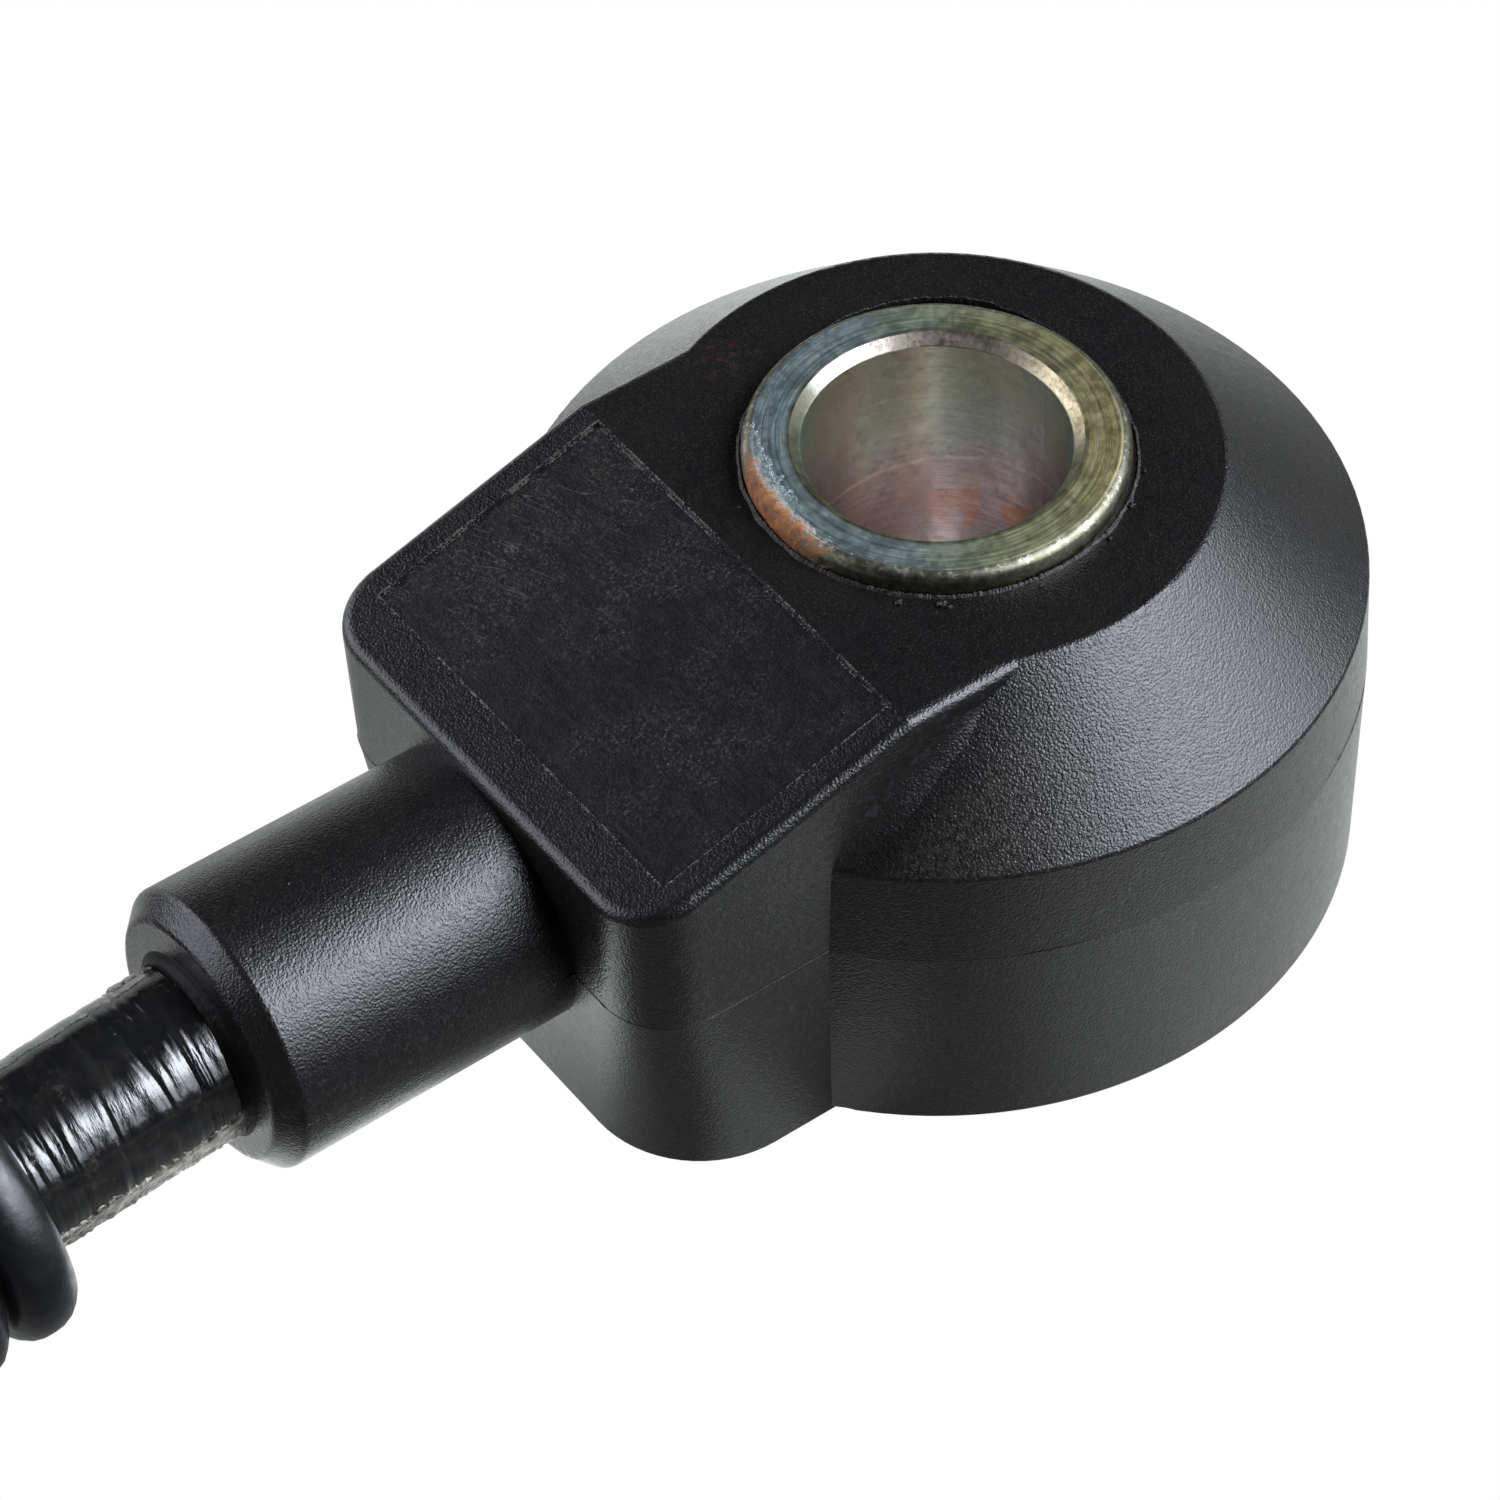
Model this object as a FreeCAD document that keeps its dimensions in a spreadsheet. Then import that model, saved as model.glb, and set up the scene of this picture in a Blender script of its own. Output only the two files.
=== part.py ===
import FreeCAD, Part
import math
import os

import Sketcher

# Engine knock sensor, flat-response type with one fixing bolt, on its own cable.
# Frame: millimetres, Z is the axis of the bolt bore, z = 0 is the contact face that sits on
# the engine block, and the cable leaves towards -X.

V = FreeCAD.Vector
doc = FreeCAD.newDocument("knock_sensor")

# --------------------------------------------------------------------------- driving dimensions
sheet = doc.addObject("Spreadsheet::Sheet", "dims")
DIMS = [
    # sleeve
    ("bore_radius", 4.2, "clearance bore for an M8 bolt"),
    ("sleeve_radius", 6.0, "turned outside of the sleeve"),
    ("sleeve_height", 17.8, "clamped length under the bolt head"),
    ("bore_chamfer", 0.33, "countersink at both mouths of the bore"),
    ("sleeve_edge", 0.25, "rounding of the flange's lower edge"),
    ("sleeve_top_edge", 0.4, "rounding of the sleeve's top edge"),
    ("flange_radius", 11.0, "contact flange at the foot"),
    ("flange_height", 2.8, "thickness of the contact flange"),
    ("groove_depth", 0.35, "sealing grooves under the plastic"),
    ("groove_width", 0.45, "sealing grooves under the plastic"),
    # moulded housing
    ("head_low_radius", 13.42, "head at its lower edge"),
    ("head_parting_radius", 13.56, "head at the parting line"),
    ("head_radius", 13.45, "head at the rim of the cone"),
    ("head_top_radius", 8.9, "flat top, where the cone ends"),
    ("shell_foot", 1.3, "height of the plastic's underside"),
    ("parting_height", 9.0, "height of the mould's parting line"),
    ("cone_foot", 12.5, "height of the rim of the cone"),
    ("head_top", 17.0, "height of the flat top"),
    ("head_edge", 0.2, "rounding of the head's edges"),
    ("boss_half_low", 8.45, "half width of the boss at the bottom"),
    ("boss_half_mid", 8.53, "half width of the boss at the parting line"),
    ("boss_half_top", 8.5, "half width of the boss at the top"),
    ("boss_end_low", 16.5, "end face of the boss at the bottom"),
    ("boss_end_mid", 17.25, "end face of the boss at the parting line"),
    ("boss_end_top", 17.6, "end face of the boss, carried up to the flat top"),
    ("boss_corner_low", 3.9, "upright corner, at the bottom"),
    ("boss_corner_mid", 2.3, "upright corner, at the parting line"),
    ("boss_corner_top", 2.1, "upright corner, at the top"),
    ("boss_edge", 0.42, "rounding of the boss's top edges"),
    ("ramp_start", 7.4, "distance from the bore axis where the top starts to slope"),
    ("ramp_slope", 0.3, "fall of the ramp for each millimetre"),
    ("recess_near", 7.45, "start of the blank label recess"),
    ("recess_far", 15.75, "end of the blank label recess"),
    ("recess_half", 7.42, "half width of the recess"),
    ("recess_depth", 0.12, "depth of the recess"),
    ("spout_radius", 4.62, "round cable spout, at the boss"),
    ("spout_mouth_radius", 4.72, "round cable spout, at its end"),
    ("spout_height", 9.0, "height of the spout's axis"),
    ("spout_end", 27.7, "end face of the spout"),
    ("spout_chamfer", 0.7, "chamfer round the spout's end"),
    ("spout_round", 0.3, "rounding of the chamfer's edges"),
    ("gland_radius", 3.06, "clear annulus round the cable at the spout's mouth"),
    ("gland_depth", 0.5, "depth of that annulus"),
    # the stack inside the head
    ("tube_radius", 6.4, "insulating tube on the sleeve"),
    ("tube_top", 11.0, "upper end of the insulating tube"),
    ("washer_radius", 10.8, "insulating washers"),
    ("washer_height", 0.2, "insulating washers"),
    ("contact_radius", 10.4, "contact discs"),
    ("contact_height", 0.3, "contact discs"),
    ("piezo_inner", 6.9, "piezo-ceramic ring"),
    ("piezo_radius", 10.0, "piezo-ceramic ring"),
    ("piezo_height", 2.5, "piezo-ceramic ring"),
    ("mass_inner", 6.7, "seismic mass"),
    ("mass_radius", 10.5, "seismic mass"),
    ("mass_height", 4.8, "seismic mass"),
    ("spring_height", 0.95, "conical spring washer, as clamped"),
    ("spring_sheet", 0.5, "thickness of the spring washer"),
    ("spring_radius", 9.6, "spring washer"),
    ("nut_height", 2.6, "ring nut"),
    ("nut_radius", 8.6, "ring nut"),
    # contact tabs, crimps and cores
    ("tab_width", 1.6, "tabs of the contact discs"),
    ("tab_offset", 1.3, "tabs and cores, each side of the middle"),
    ("tab_riser", 10.9, "inner face of the upright part of the tabs"),
    ("tab_reach", 12.8, "end of the tabs"),
    ("tab_level", 8.12, "upper face of the tabs' ends"),
    ("strand_radius", 0.5, "bare strands"),
    ("core_radius", 0.85, "insulation of a core"),
    ("crimp_wall", 0.35, "sheet of the crimp terminals"),
    # cable and conduit
    ("cable_radius", 2.8, "jacketed cable"),
    ("conduit_radius", 4.85, "corrugated conduit, over its ribs"),
    ("conduit_bore", 3.4, "corrugated conduit, inside"),
    # connector
    ("plug_x", -40.0, "axis of the connector"),
    ("plug_z", 6.0, "axis of the connector"),
    ("plug_front", 12.0, "open mouth of the connector"),
    ("plug_back", 49.0, "back of the connector's housing"),
    ("plug_half", 7.5, "half width of the housing"),
    ("plug_tall", 12.0, "height of the housing"),
    ("plug_wall", 1.2, "wall of the shroud"),
    ("pin_pitch", 5.0, "distance between the pins"),
    ("pin_radius", 0.65, "contact pins"),
]
for row, (alias, value, note) in enumerate(DIMS, 1):
    sheet.set("A%d" % row, alias)
    sheet.set("B%d" % row, str(value))
    sheet.set("C%d" % row, note)
    sheet.setAlias("B%d" % row, alias)
doc.recompute()
D = {alias: float(sheet.get(alias)) for alias, _, _ in DIMS}


def ex(text):
    """The value of a sum of products of numbers and aliases, such as 'spout_end - spout_chamfer', for a sketch's first guess."""
    total, sign, words = 0.0, 1.0, text.replace("(", " ( ").replace(")", " ) ").split()
    product, op = None, "*"
    for w in words + ["+"]:
        if w in ("+", "-") and product is not None:
            total += sign * product
            sign, product, op = (1.0 if w == "+" else -1.0), None, "*"
        elif w == "-":
            sign = -sign
        elif w in ("*", "/"):
            op = w
        else:
            neg = w.startswith("-") and len(w) > 1
            name = w[1:] if neg else w
            value = D[name] if name in D else float(name)
            value = -value if neg else value
            product = value if product is None else (product * value if op == "*" else product / value)
    return total


def bound(text):
    """The same expression with every alias read from the sheet."""
    out = []
    for w in text.split():
        neg = w.startswith("-") and len(w) > 1
        name = w[1:] if neg else w
        out.append(("-" if neg else "") + ("dims." + name if name in D else name))
    return " ".join(out)


# --------------------------------------------------------------------------- helpers
def new_body(name):
    b = doc.addObject("PartDesign::Body", name)
    b.Label = name
    return b


def origin_plane(b, role):
    return [f for f in b.Origin.OriginFeatures if f.Role == role][0]


def new_sketch(b, name, role="XY_Plane", level=None):
    s = b.newObject("Sketcher::SketchObject", name)
    s.AttachmentSupport = [(origin_plane(b, role), "")]
    s.MapMode = "FlatFace"
    if level:
        s.setExpression("AttachmentOffset.Base.z", bound(level))
    return s


def circle(s, radius):
    k = s.addGeometry(Part.Circle(V(0, 0, 0), V(0, 0, 1), ex(radius)))
    s.addConstraint(Sketcher.Constraint("Coincident", k, 3, -1, 1))
    i = s.addConstraint(Sketcher.Constraint("Radius", k, ex(radius)))
    s.setExpression("Constraints[%d]" % i, bound(radius))


def pin_point(s, k, end, x, y):
    """Ties one end of a line to a place given by two expressions."""
    if x == "0":
        s.addConstraint(Sketcher.Constraint("PointOnObject", k, end, -2))
    else:
        i = s.addConstraint(Sketcher.Constraint("DistanceX", -1, 1, k, end, ex(x)))
        s.setExpression("Constraints[%d]" % i, bound(x))
    if y == "0":
        s.addConstraint(Sketcher.Constraint("PointOnObject", k, end, -1))
    else:
        i = s.addConstraint(Sketcher.Constraint("DistanceY", -1, 1, k, end, ex(y)))
        s.setExpression("Constraints[%d]" % i, bound(y))


def polygon(s, points):
    """A closed outline through points, each given by two expressions."""
    first, n = s.GeometryCount, len(points)
    at = [V(ex(x), ex(y), 0) for x, y in points]
    for j in range(n):
        s.addGeometry(Part.LineSegment(at[j], at[(j + 1) % n]))
    for j in range(n):
        s.addConstraint(Sketcher.Constraint("Coincident", first + j, 2, first + (j + 1) % n, 1))
    for j, (x, y) in enumerate(points):
        pin_point(s, first + j, 1, x, y)


def rounded_outline(s, points):
    """A closed outline through points (x, y, radius): a corner with a radius gets an arc that is tangent to both its lines."""
    first, n = s.GeometryCount, len(points)
    at = [V(ex(x), ex(y), 0) for x, y, _ in points]
    runs = [(at[(j + 1) % n] - at[j]).normalize() for j in range(n)]
    trim, turn = [0.0] * n, [0.0] * n
    for j, (_, _, r) in enumerate(points):
        if r:
            a = runs[j - 1].getAngle(runs[j])
            trim[j] = ex(r) * math.tan(a / 2)
            turn[j] = runs[j - 1].x * runs[j].y - runs[j - 1].y * runs[j].x
    for j in range(n):
        k = (j + 1) % n
        s.addGeometry(Part.LineSegment(at[j] + runs[j] * trim[j], at[k] - runs[j] * trim[k]))
    C = Sketcher.Constraint
    for j, (x, y, r) in enumerate(points):
        before, after = first + (j - 1) % n, first + j
        if not r:
            s.addConstraint(C("Coincident", before, 2, after, 1))
            pin_point(s, after, 1, x, y)
            continue
        a, b = at[j] - runs[j - 1] * trim[j], at[j] + runs[j] * trim[j]
        m = at[j] + (runs[j] - runs[j - 1]).normalize() * math.hypot(ex(r), trim[j])
        c = Part.Circle(m, V(0, 0, 1), ex(r))
        aa, ab = math.atan2(a.y - m.y, a.x - m.x), math.atan2(b.y - m.y, b.x - m.x)
        left = turn[j] > 0
        k = s.addGeometry(Part.ArcOfCircle(c, aa, ab) if left else Part.ArcOfCircle(c, ab, aa))
        s.addConstraint(C("Tangent", before, 2, k, 1 if left else 2))
        s.addConstraint(C("Tangent", after, 1, k, 2 if left else 1))
        i = s.addConstraint(C("Radius", k, ex(r)))
        s.setExpression("Constraints[%d]" % i, bound(r))
        q = s.addGeometry(Part.Point(at[j]), True)
        pin_point(s, q, 1, x, y)
        s.addConstraint(C("PointOnObject", q, 1, before))
        s.addConstraint(C("PointOnObject", q, 1, after))


def rectangle(s, x0, x1, y0, y1):
    polygon(s, [(x0, y0), (x1, y0), (x1, y1), (x0, y1)])


def revolve(b, s, name, axis="V_Axis"):
    r = b.newObject("PartDesign::Revolution", name)
    r.Profile = s
    r.ReferenceAxis = (s, [axis])
    r.Angle = 360.0
    return r


def pad(b, s, name, length, middle=False):
    p = b.newObject("PartDesign::Pad", name)
    p.Profile = s
    p.setExpression("Length", bound(length))
    p.Midplane = middle
    return p


def pocket(b, s, name, length, middle=False, turned=False):
    p = b.newObject("PartDesign::Pocket", name)
    p.Profile = s
    p.setExpression("Length", bound(length))
    p.Midplane = middle
    p.Reversed = turned
    return p


def edges_where(shape, test):
    return ["Edge%d" % (i + 1) for i, e in enumerate(shape.Edges) if test(e)]


def is_circle(e, radius, z, tol=0.02):
    c = e.Curve
    return (
        isinstance(c, Part.Circle)
        and abs(c.Radius - radius) < tol
        and abs(c.Center.z - z) < tol
        and abs(c.Axis.z) > 0.99
    )


def round_edges(b, base, name, test, radius):
    doc.recompute()
    found = edges_where(base.Shape, test)
    if not found:
        raise RuntimeError("no edge found for " + name)
    f = b.newObject("PartDesign::Fillet", name)
    f.Base = (base, found)
    f.setExpression("Radius", bound(radius))
    return f


def ring(name, inner, outer, low, height):
    """A plain washer about the bore axis."""
    b = new_body(name)
    s = new_sketch(b, name + "_section", "XY_Plane", low)
    circle(s, outer)
    circle(s, inner)
    pad(b, s, name + "_pad", height)
    return b


# --------------------------------------------------------------------------- sleeve
sleeve = new_body("sleeve")
s = new_sketch(sleeve, "sleeve_profile", "XZ_Plane")
rounded_outline(
    s,
    [
        ("bore_radius", "bore_chamfer", None),
        ("bore_radius + bore_chamfer", "0", None),
        ("flange_radius", "0", "sleeve_edge"),
        ("flange_radius", "flange_height", None),
        ("sleeve_radius", "flange_height", None),
        ("sleeve_radius", "sleeve_height", "sleeve_top_edge"),
        ("bore_radius + bore_chamfer", "sleeve_height", None),
        ("bore_radius", "sleeve_height - bore_chamfer", None),
    ],
)
turned = revolve(sleeve, s, "sleeve_turned")
doc.recompute()
# two sealing grooves that the plastic fills
for k, level in enumerate(("15.2", "16.1")):
    g = new_sketch(sleeve, "sleeve_groove_profile_%d" % (k + 1), "XZ_Plane")
    rectangle(g, "sleeve_radius - groove_depth", "sleeve_radius + 0.5", level, level + " + groove_width")
    cutg = sleeve.newObject("PartDesign::Groove", "sleeve_groove_%d" % (k + 1))
    cutg.Profile = g
    cutg.ReferenceAxis = (g, ["V_Axis"])
    cutg.Angle = 360.0
    doc.recompute()

# --------------------------------------------------------------------------- stack on the sleeve
# heights of the stack, from the flange up
insulating_tube = ring("insulating_tube", "sleeve_radius", "tube_radius", "flange_height", "tube_top - flange_height")
lower_insulator = ring("lower_insulator", "tube_radius", "washer_radius", "flange_height", "washer_height")

Z_LOW_CONTACT = "flange_height + washer_height"
Z_PIEZO = Z_LOW_CONTACT + " + contact_height"
Z_HIGH_CONTACT = Z_PIEZO + " + piezo_height"
Z_HIGH_WASHER = Z_HIGH_CONTACT + " + contact_height"
Z_MASS = Z_HIGH_WASHER + " + washer_height"
Z_SPRING = Z_MASS + " + mass_height"
Z_NUT = Z_SPRING + " + spring_height"


def contact(name, level, side):
    """A contact disc with a tab that runs out past the stack, turns up and ends level with the crimps.
    side is + or -, the side of the middle that the tab is on."""
    b = ring(name, "tube_radius", "contact_radius", level, "contact_height")
    y0, y1 = (
        ("tab_offset - 0.5 * tab_width", "tab_offset + 0.5 * tab_width")
        if side > 0
        else ("-tab_offset - 0.5 * tab_width", "-tab_offset + 0.5 * tab_width")
    )
    t = new_sketch(b, name + "_tab_outline", "XY_Plane", level)
    rectangle(t, "-tab_riser - contact_height", "-9.6", y0, y1)
    pad(b, t, name + "_tab", "contact_height")
    u = new_sketch(b, name + "_riser_outline", "XY_Plane", level)
    rectangle(u, "-tab_riser - contact_height", "-tab_riser", y0, y1)
    pad(b, u, name + "_riser", "tab_level - " + level.replace(" + ", " - "))
    w = new_sketch(b, name + "_end_outline", "XY_Plane", "tab_level - contact_height")
    rectangle(w, "-tab_reach", "-tab_riser", y0, y1)
    pad(b, w, name + "_end", "contact_height")
    return b


lower_contact = contact("lower_contact", Z_LOW_CONTACT, -1)
piezo_ring = ring("piezo_ring", "piezo_inner", "piezo_radius", Z_PIEZO, "piezo_height")
upper_contact = contact("upper_contact", Z_HIGH_CONTACT, +1)
upper_insulator = ring("upper_insulator", "tube_radius", "washer_radius", Z_HIGH_WASHER, "washer_height")
seismic_mass = ring("seismic_mass", "mass_inner", "mass_radius", Z_MASS, "mass_height")

# conical spring washer: its outer edge stands on the mass and its inner edge carries the nut
disc_spring = new_body("disc_spring")
s = new_sketch(disc_spring, "disc_spring_profile", "XZ_Plane")
polygon(
    s,
    [
        ("sleeve_radius + 0.6", Z_SPRING + " + spring_height - spring_sheet"),
        ("spring_radius", Z_SPRING),
        ("spring_radius", Z_SPRING + " + spring_sheet"),
        ("sleeve_radius + 0.6", Z_SPRING + " + spring_height"),
    ],
)
revolve(disc_spring, s, "disc_spring_formed")

# ring nut with four spanner slots in its upper face
clamp_nut = ring("clamp_nut", "sleeve_radius", "nut_radius", Z_NUT, "nut_height")
doc.recompute()
slot = new_sketch(clamp_nut, "nut_slot_outline", "XY_Plane", Z_NUT + " + nut_height")
rectangle(slot, "7.4", "nut_radius + 0.5", "-1.1", "1.1")
slot_cut = pocket(clamp_nut, slot, "nut_slot", "1.1")
doc.recompute()
slots = clamp_nut.newObject("PartDesign::PolarPattern", "nut_slots")
slots.Originals = [slot_cut]
slots.Axis = (slot, ["N_Axis"])
slots.Angle = 360.0
slots.Occurrences = 4
clamp_nut.Tip = slots
doc.recompute()


# --------------------------------------------------------------------------- crimps, strands and cores in the boss
def rod(name, radius, x0, x1, y, z, bore=None):
    """A straight round rod or tube along X between x0 and x1 (x0 < x1), as primitives."""
    c = doc.addObject("Part::Cylinder", name if bore is None else name + "_outside")
    c.setExpression("Radius", bound(radius))
    c.setExpression("Height", bound(x1 + " - " + x0) if not x0.startswith("-") else bound(x1 + " + " + x0[1:]))
    c.Placement = FreeCAD.Placement(V(ex(x0), y, z), FreeCAD.Rotation(V(0, 1, 0), 90))
    if bore is None:
        c.Label = name
        return c
    h = doc.addObject("Part::Cylinder", name + "_bore")
    h.setExpression("Radius", bound(bore))
    h.Height = 60.0
    h.Placement = FreeCAD.Placement(V(ex(x0) - 20, y, z), FreeCAD.Rotation(V(0, 1, 0), 90))
    cut = doc.addObject("Part::Cut", name)
    cut.Base, cut.Tool = c, h
    cut.Label = name
    return cut


def box(name, x0, x1, y0, y1, z0, z1):
    b = doc.addObject("Part::Box", name)
    b.Length, b.Width, b.Height = x1 - x0, y1 - y0, z1 - z0
    b.Placement = FreeCAD.Placement(V(x0, y0, z0), FreeCAD.Rotation())
    return b


conductors, cores, crimps = [], [], []
zs = D["spout_height"]
for k, side in ((1, -1), (2, 1)):
    y = side * D["tab_offset"]
    conductors.append(rod("conductor_%d" % k, "strand_radius", "-20", "-12.9", y, zs))
    cores.append(rod("core_%d" % k, "core_radius", "-20", "-16.2", y, zs, "strand_radius"))
    # wire barrel, insulation barrel, the strip between them and the tongue welded on the tab
    wire = rod("crimp_%d_wire_barrel" % k, "strand_radius + crimp_wall", "-15.6", "-13.1", y, zs, "strand_radius")
    grip = rod("crimp_%d_grip" % k, "core_radius + crimp_wall", "-18.2", "-16.4", y, zs, "core_radius")
    low = zs - D["core_radius"] - D["crimp_wall"]
    strip = box("crimp_%d_strip" % k, -17.0, -13.6, y - 0.4, y + 0.4, low + 0.05, zs - D["strand_radius"] - 0.1)
    tongue = box("crimp_%d_tongue" % k, -13.6, -11.3, y - 0.7, y + 0.7, D["tab_level"], D["tab_level"] + D["crimp_wall"])
    joined = doc.addObject("Part::MultiFuse", "crimp_%d_joined" % k)
    joined.Shapes = [wire, grip, strip, tongue]
    clear = doc.addObject("Part::Cylinder", "crimp_%d_clear" % k)
    clear.setExpression("Radius", bound("core_radius"))
    clear.Height = 4.2
    clear.Placement = FreeCAD.Placement(V(-20.4, y, zs), FreeCAD.Rotation(V(0, 1, 0), 90))
    crimp = doc.addObject("Part::Cut", "crimp_%d" % k)
    crimp.Base, crimp.Tool = joined, clear
    crimp.Label = "crimp_%d" % k
    crimps.append(crimp)


# --------------------------------------------------------------------------- cable and conduit
# The cable's route: out of the spout, down to the bench, one open turn, and back to its connector.
ROUTE = [
    (-20.0, 0.0, 9.0),
    (-26.5, 0.0, 9.0),
    (-39.0, 0.0, 7.5),
    (-58.0, -0.6, 5.6),
    (-81.0, 0.4, 5.0),
    (-108.5, 2.2, 5.0),
    (-133.8, 16.9, 5.0),
    (-148.2, 41.8, 5.0),
    (-147.6, 70.8, 5.0),
    (-133.2, 95.6, 5.0),
    (-108.4, 109.6, 5.0),
    (-79.6, 110.2, 5.0),
    (-54.4, 95.8, 5.0),
    (-40.0, 70.6, 6.0),
    (-40.0, 42.2, 6.0),
]


def route_pieces(points):
    """Straight runs joined by tangent arcs: each is ('line', a, b) or ('arc', centre, radius, e1, e2, angle)."""
    p = [V(*q) for q in points]
    out, here, least = [], p[0], 1e9
    for i in range(1, len(p) - 1):
        u1, u2 = (p[i] - p[i - 1]).normalize(), (p[i + 1] - p[i]).normalize()
        turn = u1.getAngle(u2)
        short = min((p[i] - p[i - 1]).Length, (p[i + 1] - p[i]).Length)
        t = 0.45 * short
        radius = t / math.tan(turn / 2)
        a, b = p[i] - u1 * t, p[i] + u2 * t
        centre = p[i] + (u2 - u1).normalize() * (radius / math.cos(turn / 2))
        if (a - here).Length > 1e-6:
            out.append(("line", here, a))
        out.append(("arc", centre, radius, (a - centre).normalize(), V(u1), turn))
        print("route point %d: turn %.1f deg, radius %.1f mm" % (i, math.degrees(turn), radius))
        least = min(least, radius)
        here = b
    out.append(("line", here, p[-1]))
    print("smallest radius %.1f mm" % least)
    return out


def piece_length(q):
    return (q[2] - q[1]).Length if q[0] == "line" else q[2] * q[5]


def piece_part(q, s0, s1):
    """The edge of a piece between two distances along it."""
    if q[0] == "line":
        u = (q[2] - q[1]).normalize()
        return Part.LineSegment(q[1] + u * s0, q[1] + u * s1).toShape()
    _, c, r, e1, e2, _ = q
    at = lambda s: c + (e1 * math.cos(s / r) + e2 * math.sin(s / r)) * r
    return Part.Arc(at(s0), at((s0 + s1) / 2), at(s1)).toShape()


PIECES = route_pieces(ROUTE)
TOTAL = sum(piece_length(q) for q in PIECES)


def path_between(s0, s1):
    edges, at = [], 0.0
    for q in PIECES:
        n = piece_length(q)
        a, b = max(s0 - at, 0.0), min(s1 - at, n)
        if b - a > 1e-6:
            edges.append(piece_part(q, a, b))
        at += n
    return Part.Wire(edges)


def start_of(wire):
    e = wire.OrderedEdges[0]
    a = e.valueAt(e.FirstParameter)
    return a, e.tangentAt(e.FirstParameter)


def tube(radius, s0, s1):
    """A round solid of that radius along the route."""
    wire = path_between(s0, s1)
    p, t = start_of(wire)
    ringwire = Part.Wire([Part.Circle(p, t, radius).toShape()])
    solid = wire.makePipeShell([ringwire], True, False)
    if solid.ShapeType != "Solid":
        solid = Part.Solid(Part.Shell(solid.Faces))
    want = math.pi * radius * radius * (s1 - s0)
    print("tube r %.2f from %.1f to %.1f mm: volume %.1f, section times length %.1f" % (radius, s0, s1, solid.Volume, want))
    return solid


def along(x):
    """The distance along the route at which it first passes that x."""
    at = 0.0
    for q in PIECES:
        n = piece_length(q)
        for k in range(201):
            e = q[1] + (q[2] - q[1]) * (k / 200.0) if q[0] == "line" else q[1] + (
                q[3] * math.cos(q[5] * k / 200.0) + q[4] * math.sin(q[5] * k / 200.0)
            ) * q[2]
            if e.x <= x:
                return at + n * k / 200.0
        at += n
    raise RuntimeError("the route doesn't reach x")


CONDUIT_FROM = along(-34.9)
CONDUIT_TO = TOTAL - 31.0
print("cable %.1f mm from the stripped end to the connector; conduit from %.1f to %.1f mm" % (TOTAL, CONDUIT_FROM, CONDUIT_TO))

cable = doc.addObject("Part::Feature", "cable")
cable.Label = "cable"
cable.Shape = tube(D["cable_radius"], 0.0, TOTAL)

conduit = doc.addObject("Part::Feature", "conduit")
conduit.Label = "conduit"
skin = tube(D["conduit_radius"], CONDUIT_FROM, CONDUIT_TO)
inside = tube(D["conduit_bore"], CONDUIT_FROM + 0.8, CONDUIT_TO - 0.8)
# both ends close in on the cable
conduit.Shape = skin.cut(inside).cut(tube(D["cable_radius"], CONDUIT_FROM - 5.0, CONDUIT_TO + 5.0))
if conduit.Shape.ShapeType == "Compound" and len(conduit.Shape.Solids) == 1:
    conduit.Shape = conduit.Shape.Solids[0]

# --------------------------------------------------------------------------- housing
# head: turned form with a cone above the rim
head = new_body("housing_head")
s = new_sketch(head, "head_profile", "XZ_Plane")
rounded_outline(
    s,
    [
        ("0", "shell_foot", None),
        ("head_low_radius", "shell_foot", "head_edge"),
        ("head_parting_radius", "parting_height", None),
        ("head_radius", "cone_foot", "head_edge"),
        ("head_top_radius", "head_top", "head_edge"),
        ("0", "head_top", None),
    ],
)
head_turned = revolve(head, s, "head_turned")
doc.recompute()
# the ramp takes a slice off the head too
s = new_sketch(head, "head_ramp_outline", "XZ_Plane")
RAMP = [
    ("-ramp_start", "head_top"),
    ("-ramp_start - 14", "head_top - 14 * ramp_slope"),
    ("-ramp_start - 14", "head_top + 3"),
    ("-ramp_start", "head_top + 3"),
]
polygon(s, RAMP)
pocket(head, s, "head_ramp", "40", middle=True)
doc.recompute()

# boss: lofted through three outlines, with its draft both ways from the parting line and upright corners that tighten upwards
boss = new_body("housing_boss")


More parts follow.
